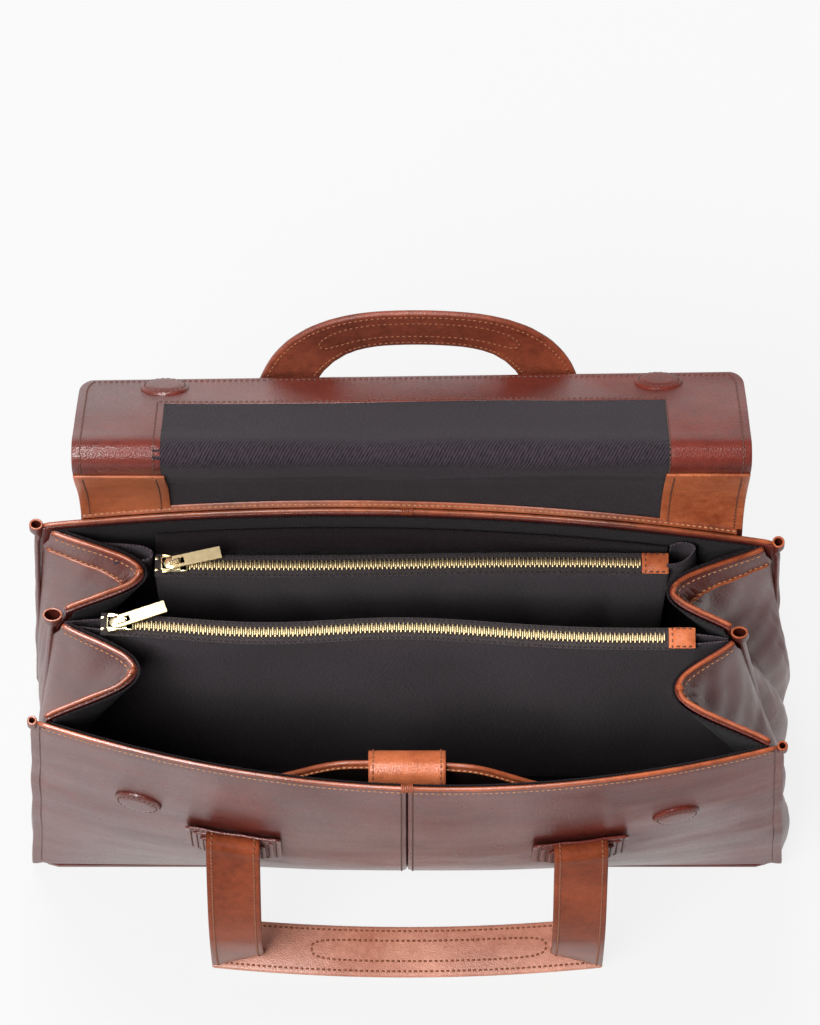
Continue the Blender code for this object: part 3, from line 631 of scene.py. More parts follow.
for gusset_name in GUSSETS:
    place = gusset_place(gusset_name)
    sheet(f"gusset_{gusset_name}", 56, 72, place, LEATHER, body_leather,
          stands_for=(f"gusset_{gusset_name}",))
    deep = GUSSET_BAND["rear" in gusset_name]
    band_low = 1.0 - deep / WALL_RISE
    band = lambda across, along: place(across, mix(band_low, 1.0, along))
    sheet(f"gusset_band_{gusset_name}", 56, 12, band, BAND_THICKNESS, body_leather,
          lift=BAND_LIFT)
    rows = [level_track(1.0 - STITCH_DROP / deep, 40, 1, 39)]
    if "rear" in gusset_name:
        rows.append(level_track(0.0022 / deep, 40, 1, 39))
    stitches(f"gusset_stitches_{gusset_name}", band, rows, lift=BAND_LIFT)


# Rolled edges and seams
# The mouth's edges are bound with a narrow rolled strip of the same leather, burnished to
# tan. Each upright seam is rolled into a hollow pipe, whose open end shows at the mouth.
TRIM_DEEP = (0.130, 0.026, 0.010)
TRIM_WARM = (0.440, 0.105, 0.038)
TAN_DEEP = (0.250, 0.050, 0.018)
TAN_WARM = (0.640, 0.185, 0.074)
trim_leather = leather_finish("trim_leather", TRIM_DEEP, TRIM_WARM, roughness=0.27, grain=1500.0,
                              relief=0.09, gloss=0.50)
tan_leather = leather_finish("tan_leather", TAN_DEEP, TAN_WARM, roughness=0.30, grain=1100.0,
                             gloss=0.50)


ROLL_SIDES = 12


def turns(count, closed=False):
    """Angles evenly round a circle; a closed one comes back to its start."""
    return [2 * pi * k / count for k in range(count + closed)]


def bridge(solid, rings, outward=True):
    """Closes the wall between each ring of points and the next."""
    around = len(rings[0])
    for low, high in zip(rings, rings[1:]):
        for k in range(around):
            following = (k + 1) % around
            loop = (low[k], low[following], high[following], high[k])
            solid.faces.new(loop if outward else loop[::-1])


def rolled_strip(name, points, radius, stands_for=()):
    """A strip rolled round a line of points, as a round rod with rounded ends."""
    rod = bmesh.new()
    rings = []
    last = len(points) - 1
    open_ended = (points[0] - points[-1]).length > 0.001
    for index, point in enumerate(points):
        ahead = (points[min(index + 1, last)] - points[max(index - 1, 0)]).normalized()
        side = ahead.cross(Vector((0, 0, 1)))
        side = side.normalized() if side.length > 0.3 else ahead.cross(Vector((0, 1, 0))).normalized()
        lifted = side.cross(ahead)
        taper = 0.55 if index in (0, last) and open_ended else 1.0
        rings.append([rod.verts.new(point + (side * cos(turn) + lifted * sin(turn)) * radius * taper)
                      for turn in turns(ROLL_SIDES)])
    bridge(rod, rings)
    rod.faces.new(rings[0][::-1])
    rod.faces.new(rings[-1])
    bmesh.ops.recalc_face_normals(rod, faces=rod.faces)
    return finished(object_of(name, rod, trim_leather), stands_for)


for rim_name, which, inward in (("front_binding", front_wall, 1), ("rear_binding", rear_wall, -1)):
    reach = 1.0 - 0.0008 / half_width(1.0)
    rim = [which(mix(-reach, reach, k / 90), 1.0) for k in range(91)]
    lift = Vector((0.0, inward * LEATHER * 0.4, BINDING_RADIUS))
    bump = [0.0006 * bell(point.x, 0.0035) for point in rim]
    rim = [point + lift + Vector((0, 0, rise + 0.0004 * ripple(point, 0.05)))
           for point, rise in zip(rim, bump)]
    rolled_strip(rim_name, rim, BINDING_RADIUS * 0.74, (rim_name,))
    middle = which(0.0, 1.0) + lift + Vector((0, 0, 0.0004))
    for k in range(6):
        wrap = [middle + Vector(((k - 2.5) * 0.0011, cos(turn) * 0.0021, sin(turn) * 0.0021 - 0.0002))
                for turn in turns(16, True)]
        rolled_strip(f"{rim_name}_tack_{k + 1}", wrap, 0.0005)
RIM_TACK = 37
for gusset_name in GUSSETS:
    place = gusset_place(gusset_name, relief=0.0)
    rim = [place(mix(0.004, 0.996, k / 70), 1.0) + Vector((0, 0, BINDING_RADIUS * 0.8)) for k in range(71)]
    for k, point in enumerate(rim):
        sway = sin(pi * k / 70)
        point.x += 0.0013 * ripple((k * 0.0015, GUSSETS[gusset_name][2] * 0.02, 0.0), 0.011, 6.0) * sway
        point.z += 0.0012 * ripple((k * 0.0015, 0.0, 0.05), 0.014, 2.0) * sway
        point.z += 0.0012 * bell(k - RIM_TACK, 2.2)
    if "rear" in gusset_name:
        outline = gusset_place(gusset_name)
        low = 1.0 - (GUSSET_BAND[True] - 0.0006) / WALL_RISE
        piping = [surface_point(outline, k / 70, low, BAND_THICKNESS + 0.0004)[0] for k in range(2, 69)]
        rolled_strip(f"gusset_piping_{gusset_name}", piping, 0.0009)
    rolled_strip(f"gusset_binding_{gusset_name}", rim, BINDING_RADIUS * 0.70,
                 (f"gusset_binding_{gusset_name}",))
    for offset in (-1, 0, 1):
        knot = rim[RIM_TACK + offset]
        wrap = [knot + Vector((cos(turn) * 0.0017, 0.0, sin(turn) * 0.0017))
                for turn in turns(16, True)]
        rolled_strip(f"gusset_tack_{gusset_name}_{offset + 2}", wrap, 0.0005)

WELT_WALL = 0.0008
WELT_END = 1.015
FLAT_HALF = (0.0012, 0.0009)
WELTS = {
    "corner_welt_front_left": (partial(front_wall, -1), 1, (0.0027, 0.0027)),
    "corner_welt_front_right": (partial(front_wall, 1), 1, (0.0029, 0.0029)),
    "corner_welt_rear_left": (partial(rear_wall, -1), -1, (0.0038, 0.0033)),
    "corner_welt_rear_right": (partial(rear_wall, 1), -1, (0.0034, 0.0034)),
    "middle_welt_left": (partial(middle_seam, -1), 0, (0.0054, 0.0041)),
    "middle_welt_right": (partial(middle_seam, 1), 0, (0.0047, 0.0036)),
}


def welt_centre(seam, inward, along, open_top):
    """The middle of a rolled seam, which comes out from behind the panels at its open top."""
    centre = seam(along) + Vector((0.0, inward * mix(0.0034, 0.0010, open_top), 0.0))
    centre.x += copysign(mix(-0.0012, 0.0018, open_top) if inward else -0.0010, centre.x)
    return centre


def hollow_pipe(name, seam, inward, ring):
    """A rolled seam: flat behind the panel's edge below, and opening into a ring at its top."""
    pipe = bmesh.new()
    around, levels = 20, 44
    outside = []
    inside = []
    for level in range(levels + 1):
        along = mix(0.0, WELT_END, 1.0 - (1.0 - level / levels) ** 1.7)
        open_share = clamp((along - 0.955) / 0.038)
        open_share = open_share * open_share * (3 - 2 * open_share)
        centre = welt_centre(seam, inward, along, clamp((along - 0.94) / 0.05))
        half = (mix(FLAT_HALF[0] if inward else 0.0020, ring[0], open_share),
                mix(FLAT_HALF[1] if inward else 0.0020, ring[1], open_share))
        for rings, shrink in ((outside, 0.0), (inside, min(WELT_WALL, 0.62 * min(half)))):
            rings.append([pipe.verts.new(centre + Vector((cos(turn) * (half[0] - shrink),
                                                          sin(turn) * (half[1] - shrink), 0.0)))
                          for turn in turns(around)])
    bridge(pipe, outside)
    bridge(pipe, inside, False)
    bridge(pipe, (outside[-1], inside[-1]))
    bridge(pipe, (outside[0], inside[0]), False)
    thing = object_of(name, pipe, body_leather)
    round_edges(thing, 0.0003)
    return finished(thing, stands_for=(name,))


for welt_name, (seam, inward, ring) in WELTS.items():
    hollow_pipe(welt_name, seam, inward, ring)
    top = welt_centre(seam, inward, WELT_END, 1.0)
    loop = [top + Vector((cos(turn) * (ring[0] - 0.0006), sin(turn) * (ring[1] - 0.0006), 0.0003))
            for turn in turns(32, True)]
    rolled_strip(f"{welt_name}_rim", loop, 0.00062)


# Linings
# Black twill hangs just inside each leather wall, sewn in under the rolled edges.
LINING_LIFT = 0.0033
FABRIC = 0.0010
LINING_INSET = 0.0058
LINING_FOOT = wall_share(base_high.z + 0.0025)
for lining_name, which in (("front_lining", front_wall), ("rear_lining", rear_wall)):
    def place(across, along):
        up = mix(LINING_FOOT, 1.0, along)
        edge = 1.0 - LINING_INSET / half_width(up)
        side = mix(-edge, edge, across)
        point = which(side if which is front_wall else -side, up)
        sag = 0.0007 * ripple(point, 0.05, 11.0) * hump(along)
        point.y += (1 if which is front_wall else -1) * abs(sag)
        return point
    sheet(lining_name, 70, 40, place, FABRIC, deep_lining, (lining_name,),
          lift=-LINING_LIFT)
for gusset_name in GUSSETS:
    inner = gusset_place(gusset_name, 0.0048, 0.0)
    sheet(f"gusset_lining_{gusset_name}", 40, 40,
          lambda across, along: inner(across, mix(LINING_FOOT, 1.0, along)),
          FABRIC, deep_lining, (f"gusset_lining_{gusset_name}",), lift=-LINING_LIFT)


# Middle pocket
# Two walls of black twill run from side seam to side seam and are gathered to a point at
# each end. The cloth hangs in shallow upright folds below its zip.
MIDDLE_ZIP_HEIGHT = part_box("middle_zip_tape")[1].z
TAPE_WIDTH = 0.0130
TAPE_THICKNESS = 0.0009
DIVIDER_HALF = 0.0052


def middle_line(x):
    left, right = middle_seam(-1, 1.0), middle_seam(1, 1.0)
    return mix(left.y, right.y, (x - left.x) / (right.x - left.x))


def zip_wave(x):
    """The middle zip wanders a little from the straight line between the seams."""
    return middle_line(x) - 0.0035 * bell(x + 0.085, 0.055) \
        + 0.0018 * bell(x, 0.045) - 0.0015 * bell(x - 0.10, 0.05)


for divider_name, facing in (("divider_front", -1), ("divider_rear", 1)):
    def place(across, along):
        up = mix(LINING_FOOT, wall_share(MIDDLE_ZIP_HEIGHT - 0.0006), along)
        left, right = middle_seam(-1, up), middle_seam(1, up)
        position = across if facing < 0 else 1 - across
        x = mix(left.x + 0.006, right.x - 0.006, position)
        swell = max(0.0, 1.0 - abs(2 * position - 1) ** 7)
        y = mix(middle_line(x), zip_wave(x), along ** 3) * up + facing * mix(0.0011, DIVIDER_HALF, swell)
        folds = 0.0016 * sin(x * 62 + 3 * along) + 0.0022 * ripple((x, 0, along * 0.12), 0.05, 2.0)
        y += facing * folds * swell * hump(along) ** 0.8
        return Vector((x, y, mix(PANEL_BOTTOM, PANEL_TOP, up)))
    sheet(divider_name, 110, 48, place, FABRIC, twill, (divider_name,))


# Zips
# Size-five brass zips sewn face up on dark woven tape: two rows of single teeth, a cast
# slider with a bridge, a flat plain pull, a stop at the start and a leather tab at the end.
BRASS_COLOUR = (0.930, 0.780, 0.480)
HANDLED_COLOUR = (0.80, 0.65, 0.38)
TOOTH_PITCH = 0.00245
TOOTH_SIZE = Vector((0.00092, 0.0046, 0.0017))
SLIDER_BLOCKS = (((-0.0070, -0.0040, 0.0), (0.0045, 0.0040, 0.0011), 0.0),
                 ((0.0030, -0.0047, 0.0), (0.0075, 0.0047, 0.0028), 0.0),
                 ((-0.0075, -0.0036, 0.0017), (0.0032, 0.0036, 0.0028), 0.0),
                 ((-0.0072, -0.0048, 0.0), (-0.0020, -0.0036, 0.0028), 0.10),
                 ((-0.0072, 0.0036, 0.0), (-0.0020, 0.0048, 0.0028), -0.10))
TAPE_DARK = (0.020, 0.016, 0.017)
TAPE_LIGHT = (0.075, 0.060, 0.062)


def brass_finish(name, colour, roughness):
    paint, nodes, shader, join = new_finish(name)
    spot = nodes.new("ShaderNodeTexCoord")
    smear = node_of(nodes, "ShaderNodeTexNoise", Scale=320.0, Detail=4.0)
    join(spot, "Object", smear, "Vector")
    tone = tone_of(nodes, scaled(colour, 0.80), scaled(colour, 1.12))
    join(smear, "Fac", tone, "Fac")
    join(tone, "Color", shader, "Base Color")
    shine = node_of(nodes, "ShaderNodeMapRange", To_Min=roughness - 0.06, To_Max=roughness + 0.10)
    join(smear, "Fac", shine, "Value")
    join(shine, "Result", shader, "Roughness")
    bump = node_of(nodes, "ShaderNodeBump", Strength=0.08, Distance=0.0002)
    join(smear, "Fac", bump, "Height")
    join(bump, "Normal", shader, "Normal")
    settle(shader, Metallic=1.0)
    return paint


brass = brass_finish("polished_brass", BRASS_COLOUR, 0.24)
handled_brass = brass_finish("handled_brass", HANDLED_COLOUR, 0.50)
tape_cloth = twill_finish("zip_tape_cloth", TAPE_DARK, TAPE_LIGHT, rib=0.0012)


def block(solid, low, high, turn=0.0, at=Vector((0, 0, 0))):
    """A box added to a mesh being built, turned about Z and moved to its place."""
    made = bmesh.ops.create_cube(solid, size=1.0)["verts"]
    size, centre = Vector(high) - Vector(low), (Vector(low) + Vector(high)) / 2
    spin = Matrix.Rotation(turn, 4, "Z")
    for vertex in made:
        vertex.co = spin @ (Vector(vertex.co[i] * size[i] for i in range(3)) + centre) + at


def joined(name, solid, finish, stands_for=(), edge=0.0003, segments=2):
    thing = object_of(name, solid, finish)
    round_edges(thing, edge, segments, 40)
    return finished(thing, stands_for)


rear_tape_low, rear_tape_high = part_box("rear_zip_tape")
rear_zip_y = (rear_tape_low.y + rear_tape_high.y) / 2
ZIPS = {
    "middle_zip": zip_wave,
    "rear_zip": lambda x: rear_zip_y + 0.0009 * sin(x * 21),
}
for zip_name, line in ZIPS.items():
    tape_low, tape_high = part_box(f"{zip_name}_tape")
    left, right, height = tape_low.x, tape_high.x, tape_high.z

    def tape(across, along):
        x = mix(left, right, across)
        slope = (line(x + 0.001) - line(x - 0.001)) / 0.002
        side = Vector((-slope, 1.0, 0.0)).normalized()
        crown = 0.0006 * (1 - (2 * along - 1) ** 2)
        return Vector((x, line(x), height + crown)) + side * ((along - 0.5) * TAPE_WIDTH)
    sheet(f"{zip_name}_tape", 120, 6, tape, TAPE_THICKNESS, tape_cloth,
          (f"{zip_name}_tape",))
    stitches(f"{zip_name}_tape_stitches", tape, [level_track(row, 60, 1, 59) for row in (0.10, 0.90)],
             tape_cloth)

    teeth_low, teeth_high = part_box(f"{zip_name}_teeth")
    slider_low, slider_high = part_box(f"{zip_name}_slider")
    teeth = bmesh.new()
    count = int((teeth_high.x - teeth_low.x) / TOOTH_PITCH)
    for index in range(count):
        for row in (-1, 1):
            x = teeth_low.x + (index + (0.25 if row < 0 else 0.75)) * TOOTH_PITCH
            point, normal = surface_point(tape, (x - left) / (right - left), 0.5)
            root, tip = row * 0.0029, -row * 0.0017
            block(teeth, (-TOOTH_SIZE.x / 2, min(root, tip), 0.0002),
                  (TOOTH_SIZE.x / 2, max(root, tip), TOOTH_SIZE.z), at=point)
    joined(f"{zip_name}_teeth", teeth, handled_brass, (f"{zip_name}_teeth",), edge=0.00022, segments=1)

    middle = (slider_low + slider_high) / 2
    slider = bmesh.new()
    for low, high, turn in SLIDER_BLOCKS:
        block(slider, low, high, turn)
    crown = bmesh.ops.create_uvsphere(slider, u_segments=20, v_segments=12, radius=1.0)["verts"]
    for vertex in crown:
        spot = vertex.co
        vertex.co = Vector((spot.x * 0.0052 - 0.0012, spot.y * 0.0040, spot.z * 0.0016 + 0.0024))
    bmesh.ops.translate(slider, verts=slider.verts, vec=Vector((middle.x, middle.y, slider_low.z)))
    joined(f"{zip_name}_slider_body", slider, brass, edge=0.0005)
    refinish(f"{zip_name}_slider", brass)

    stops = bmesh.new()
    for row in (-1, 1):
        block(stops, (-0.0012, row * 0.0032 - 0.0009, 0.0), (0.0012, row * 0.0032 + 0.0009, 0.0016),
              at=Vector((slider_low.x - 0.0022, middle.y, height)))
    joined(f"{zip_name}_stops", stops, brass, edge=0.0004)

    refinish(f"{zip_name}_pull", handled_brass)

    tab_low, tab_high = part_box(f"{zip_name}_tab")

    def tab(across, along):
        x = mix(tab_low.x, tab_high.x, across)
        wide = 0.0120 * mix(0.94, 1.0, 1 - abs(2 * across - 1) ** 6)
        puff = 0.0020 * (1 - abs(2 * across - 1) ** 2.5) * (1 - abs(2 * along - 1) ** 2.5)
        puff -= 0.0007 * bell(across - 0.14, 0.05)
        return Vector((x, line(x) + (along - 0.5) * wide, tab_high.z + puff))
    sheet(f"{zip_name}_tab", 24, 20, tab, 0.0016, tan_leather, (f"{zip_name}_tab",))
    stitches(f"{zip_name}_tab_stitches", tab, [[(0.92, 0.08), (0.14, 0.08), (0.14, 0.92), (0.92, 0.92)]],
             dark_thread)


# Rear pocket
# The twill pocket on the rear wall. Its front wall hangs below the zip in soft folds and a
# strip of the same cloth fills the space behind the zip.
REAR_POCKET_BOTTOM = 0.060
FOLD_LOW = 0.236
FOLD_HIGH = 0.2715


def smooth_line(points, passes=3):
    for _ in range(passes):
        cut = [points[0]]
        for start, end in zip(points, points[1:]):
            cut += [start.lerp(end, 0.25), start.lerp(end, 0.75)]
        points = cut + [points[-1]]
    return points


def travel(points, share):
    """The point at a share of a line's length, and the direction there."""
    lengths = [(b - a).length for a, b in zip(points, points[1:])]
    left = clamp(share) * sum(lengths)
    for start, end, length in zip(points, points[1:], lengths):
        if left <= length or end is points[-1]:
            return start.lerp(end, left / length if length else 0.0), (end - start).normalized()
        left -= length


def rear_pocket(across, along):
    x = mix(rear_tape_low.x, rear_tape_high.x, across)
    height = mix(REAR_POCKET_BOTTOM, rear_tape_low.z - 0.0004, along)
    seat = on_wall(rear_wall, x, height).y - 0.0065
    y = mix(seat, rear_zip_y - TAPE_WIDTH / 2 + FABRIC, max(along, 0.0) ** 0.7)
    fold = 0.0015 * sin(x * 75 + 2.0 * along) + 0.0016 * ripple((x, 0, along * 0.1), 0.04, 9.0)
    y -= abs(fold) * hump(along)
    return Vector((x, y, height))


def rear_strip(across, along):
    x = mix(rear_tape_low.x, rear_tape_high.x, across)
    back = on_wall(rear_wall, x, PANEL_TOP).y - 0.0064
    y = mix(rear_zip_y + TAPE_WIDTH / 2, back, along)
    sag = 0.011 * hump(along) ** 0.7 * (1 + 0.3 * ripple((x, 0, 0), 0.03))
    return Vector((x, y, mix(rear_tape_high.z - 0.001, rear_tape_high.z - 0.004, along) - sag))


for fold_name, path in (("left", [(-0.180, 0.0500), (-0.158, 0.0490), (-0.1425, 0.0465), (-0.1385, 0.0420),
                                 (-0.1440, 0.0385), (-0.160, 0.0390)]),
                        ("right", [(0.1420, 0.0365), (0.1500, 0.0380), (0.1560, 0.0425), (0.1590, 0.0480),
                                   (0.1500, 0.0500), (0.1440, 0.0480)])):
    fold_line = smooth_line([Vector(pair) for pair in path])

    def fold(across, along):
        point, direction = travel(fold_line, across)
        over = min(0.0, across) + max(0.0, across - 1.0)
        height = mix(FOLD_LOW, FOLD_HIGH - 0.002 * sin(6.0 * across), along)
        point = point + direction * over * 0.05 + Vector((direction.y, -direction.x)) * 0.0025 * (1 - along)
        return Vector((point.x, point.y, height))
    sheet(f"rear_pocket_fold_{fold_name}", 48, 14, fold, FABRIC, twill)
sheet("rear_pocket_front", 90, 36, rear_pocket, FABRIC, twill, ("rear_pocket_front",))
sheet("rear_pocket_back", 90, 8, rear_strip, FABRIC, deep_lining, ("rear_pocket_back",))


# Open front pocket
# A leather pocket without a zip inside the front. It bows away from the wall, its edge is
# rolled, and a short leather tab comes over the edge from the front panel.
SLIP_WIDTH = 0.240
SLIP_TOP = 0.250
SLIP_BOTTOM = 0.070
SLIP_LIFT = 0.0054
SLIP_BOW = 0.0172
SUEDE_DEEP = (0.005, 0.003, 0.003)
SUEDE_WARM = (0.022, 0.012, 0.011)
SLIP_DROP = 0.019


def slip(across, along):
    x = mix(-0.5, 0.5, across) * SLIP_WIDTH
    low_side = clamp((abs(x) - 0.032) / 0.055)
    top = SLIP_TOP - 2 * BINDING_RADIUS - SLIP_DROP * low_side * low_side * (3 - 2 * low_side)
    height = mix(SLIP_BOTTOM, top, along)
    rise = max(0.0, (height - SLIP_BOTTOM) / (SLIP_TOP - SLIP_BOTTOM))
    point = on_wall(front_wall, x, height)
    bow = SLIP_BOW * rise ** 1.5 * max(0.0, 1 - (2 * x / SLIP_WIDTH) ** 2) ** 1.35
    point.y += bow + BINDING_RADIUS * rise
    return point


suede = leather_finish("dark_suede", SUEDE_DEEP, SUEDE_WARM, roughness=0.7, gloss=0.1)
sheet("slip_pocket", 60, 40, slip, LEATHER, suede, stands_for=("slip_pocket",), lift=-SLIP_LIFT)
slip_edge = [slip(k / 60, 1.0) + Vector((0.0, SLIP_LIFT + LEATHER / 2, BINDING_RADIUS)) for k in range(61)]
rolled_strip("slip_binding", slip_edge, BINDING_RADIUS * 0.85, ("slip_binding",))


def slip_turn(across, along):
    here = clamp(across) * 60
    step = int(min(here, 59))
    point = slip_edge[step].lerp(slip_edge[step + 1], here - step)
    return point + Vector(((across - here / 60) * SLIP_WIDTH, mix(-0.0030, -0.0004, along),
                           mix(-0.0016, 0.0, along)))


sheet("slip_turned_edge", 60, 3, slip_turn, 0.0008, trim_leather)
stitches("slip_stitches", slip_turn, [level_track(0.25, 60, 4, 56)])


tab_low, tab_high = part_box("pocket_tab")
TAB_ROOT = Vector((tab_low.y, tab_high.z - LEATHER))
tab_line = smooth_line([TAB_ROOT - Vector((0.0, 0.009)),
                        Vector((mix(tab_low.y, tab_high.y, 0.14), tab_high.z - LEATHER - 0.0010)),
                        Vector((mix(tab_low.y, tab_high.y, 0.50), tab_high.z - LEATHER + 0.0062)),
                        Vector((tab_high.y - LEATHER + 0.0012, tab_high.z - LEATHER - 0.0030)),
                        Vector((tab_high.y - LEATHER, mix(tab_low.z, tab_high.z, 0.75))),
                        Vector((tab_high.y - LEATHER, tab_low.z))])


def pocket_tab(across, along):
    point, direction = travel(tab_line, along)
    if along < 0.0 or along > 1.0:
        point = point + direction * ((along - clamp(along)) * 0.05)
    return Vector((mix(tab_high.x, tab_low.x, across), point.x, point.y))


sheet("pocket_tab", 24, 48, pocket_tab, -LEATHER, tan_leather, ("pocket_tab",))
stitches("pocket_tab_stitches", mirrored(pocket_tab), upright_tracks((0.06, 0.94), 30, 1, 18),
         strap_thread, lift=0.0002)


# Flap
# One large leather panel sewn to the rear, standing up from its seam and then folded back
# over the rear handle. Inside it has a wide leather frame round a middle of black twill,
# and each side of the frame is pieced: its lower stretch is a separate, tanner length.
flap_low, flap_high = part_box("flap_outer")
FLAP_WIDTH = flap_high.x - flap_low.x
FLAP_SHIFT = (flap_high.x + flap_low.x) / 2
FLAP_OVERLAP = 0.022
FLAP_RISE = 0.095
FLAP_LEAN = 0.004
FLAP_REACH = 0.0668
FLAP_DROP = 0.0780
FLAP_TILT = 0.012
FLAP_FRAME = 0.047
FLAP_BAND = 0.042
FACING = 0.0014


def flap_line(x):
    rear = on_wall(rear_wall, x, PANEL_TOP).y
    straight = on_wall(rear_wall, 0.0, PANEL_TOP).y
    stack = 2 * LEATHER + 2 * PANEL_GAP + FACING
    crease = BODY_HEIGHT + FLAP_RISE
    root = on_wall(rear_wall, x, BODY_HEIGHT - FLAP_OVERLAP).y
    reach = FLAP_REACH + FLAP_TILT * x
    drop = FLAP_DROP - 0.5 * FLAP_TILT * x
    return smooth_line([
        Vector((root + LEATHER + PANEL_GAP, BODY_HEIGHT - FLAP_OVERLAP)),
        Vector((rear + LEATHER + 2 * PANEL_GAP, BODY_HEIGHT - FLAP_OVERLAP / 2)),
        Vector((rear + stack + BINDING_RADIUS, BODY_HEIGHT + BINDING_RADIUS)),
        Vector((mix(rear, straight, 0.5) + stack, BODY_HEIGHT + FLAP_RISE / 3)),
        Vector((straight - FLAP_LEAN, crease - 0.024)),
        Vector((straight - FLAP_LEAN - 0.0015, crease - 0.009)),
        Vector((straight - FLAP_LEAN - 0.0010, crease - 0.001)),
        Vector((straight + 0.0005, crease + 0.0005)),
        Vector((straight + 0.0060, crease - 0.0050)),
        Vector((mix(straight, straight + reach, 0.20), mix(crease, crease - drop, 0.19))),
        Vector((mix(straight, straight + reach, 0.55), mix(crease, crease - drop, 0.52))),
        Vector((straight + reach, crease - drop))])


flap_lines = {}


def flap_at(x, along):
    key = round(x, 5)
    if key not in flap_lines:
        flap_lines[key] = flap_line(x)
    point, direction = travel(flap_lines[key], along)
    if along > 1.0:
        point = point + direction * ((along - 1.0) * 0.23)
    calm = hump(along)
    wave = 0.0016 * ripple((x, point.x, point.y), 0.09, 4.0) * calm
    across = Vector((-direction.y, direction.x)) * wave
    return Vector((x + FLAP_SHIFT, point.x + across.x, point.y + across.y))


FLAP_LENGTH = sum((b - a).length for a, b in zip(flap_line(0.0), flap_line(0.0)[1:]))
FLAP_LIP = (FLAP_OVERLAP + 0.4 * BINDING_RADIUS) / FLAP_LENGTH
FLAP_CORNER = Vector((0.0075, 0.019))


def flap_corner(along):
    """How far the sides come in at the rounded free corners."""
    left = (1.0 - along) * FLAP_LENGTH
    if left >= FLAP_CORNER.y:
        return 0.0
    return FLAP_CORNER.x * (1.0 - sqrt(max(0.0, 1.0 - (1.0 - max(left, 0.0) / FLAP_CORNER.y) ** 2)))


def flap_rows(along, low=0.0):
    """Rows crowd together towards the free edge, so that its corners come out round."""
    return mix(low, 1.0, 1.0 - (1.0 - along) ** ROW_CROWD) if 0 <= along <= 1 else along


def flap_inner(across, along, low=FLAP_LIP):
    up = flap_rows(along, low)
    half = FLAP_WIDTH / 2 - flap_corner(up)
    return flap_at(mix(half, -half, across), up)


FRAME_SHARE = FLAP_FRAME / FLAP_WIDTH
FRAME_SLIP = 0.0020 / FLAP_WIDTH
FRAME_LEFT = FRAME_SHARE - FRAME_SLIP
FRAME_RIGHT = 1 - FRAME_SHARE - FRAME_SLIP
SIDE_PIECE_TOP = 0.292
ROW_CROWD = 1.5
BAND_START = 1.0 - (FLAP_BAND / FLAP_LENGTH / (1 - FLAP_LIP)) ** (1 / ROW_CROWD)
FACING_LIFT = LEATHER + 0.0003
sheet("flap_outer", 80, 80, lambda across, along: flap_inner(across, along, 0.0), LEATHER,
      body_leather, stands_for=("flap_outer",))
sheet("flap_facing", 92, 96, flap_inner, FACING, body_leather, stands_for=("flap_facing",),
      lift=-FACING_LIFT,
      keep=lambda across, along: along > BAND_START or across < FRAME_LEFT or across > FRAME_RIGHT)


def flap_cloth(across, along):
    point = flap_inner(mix(FRAME_SHARE - 0.012, 1 - FRAME_SHARE + 0.012, across),
                       mix(0.0, BAND_START + 0.02, along))
    calm = hump(along) * hump(across)
    ridge = 0.37 + 0.10 * sin(5.2 * across + 0.4)
    sag = 0.0022 * bell(along - ridge, 0.035) + 0.0010 * ripple(point, 0.06, 12.0)
    sag -= 0.0016 * bell(along - ridge + 0.07, 0.04)
    return point + Vector((0.0, -0.8, 0.6)) * sag * calm ** 0.5


sheet("flap_lining", 90, 90, flap_cloth, FABRIC, flap_twill, ("flap_lining",),
      lift=-FACING_LIFT - 0.0002)


for side_name, first, last in (("left", FRAME_RIGHT, 1.0), ("right", 0.0, FRAME_LEFT)):
    def side_piece(across, along):
        return flap_inner(mix(first, last, across), mix(0.0, SIDE_PIECE_TOP, along))
    sheet(f"flap_side_{side_name}", 16, 40, side_piece, FACING, tan_leather, lift=-FACING_LIFT - FACING)
    stitches(f"flap_side_stitches_{side_name}", mirrored(side_piece),
             upright_tracks((0.10, 0.90), 20, 0, 19), dark_thread, lift=FACING_LIFT + 2 * FACING)


SEAM_STRIP_ENDS = (-0.1775, 0.1800)
STRIP_THICKNESS = 0.0008


def rim_strip(across, along):
    x = mix(*SEAM_STRIP_ENDS, across)
    rear = on_wall(rear_wall, x, PANEL_TOP).y
    return Vector((x, rear + mix(-0.0002, 0.0030, along), BODY_HEIGHT + mix(0.0006, 0.0030, along)))


sheet("flap_seam_strip", 80, 4, rim_strip, STRIP_THICKNESS, trim_leather)
stitches("flap_seam_stitches", rim_strip, [level_track(0.45, 60, 0, 60)])


border = 0.0045 / FLAP_WIDTH
inner_edge = FRAME_SHARE - 0.0035 / FLAP_WIDTH
top_edge = 1.0 - (STITCH_DROP / FLAP_LENGTH) ** (1 / ROW_CROWD)
band_edge = BAND_START + 0.012
outline = [(border, k / 30) for k in range(31)] \
    + [(mix(border, 1 - border, k / 30), 0.985) for k in range(1, 30)] \
    + [(1 - border, 1 - k / 30) for k in range(31)]
outline = [(c, min(r, top_edge)) for c, r in outline]
window = [(inner_edge, mix(0.0, band_edge, k / 20)) for k in range(21)] \
    + [(mix(inner_edge, 1 - inner_edge, k / 30), band_edge) for k in range(1, 31)] \
    + [(1 - inner_edge, mix(band_edge, 0.0, k / 20)) for k in range(1, 21)]
stitches("flap_stitches", mirrored(flap_inner), [outline, window], dark_thread, lift=FACING_LIFT + FACING)


# Magnet discs
# Magnets under round leather covers, sewn down through a stitched rim: two on the front, two
# near the flap's free edge.
DISC_RADIUS = 0.0133
DISC_DROP = 0.006
DISC_INSET = 0.0155


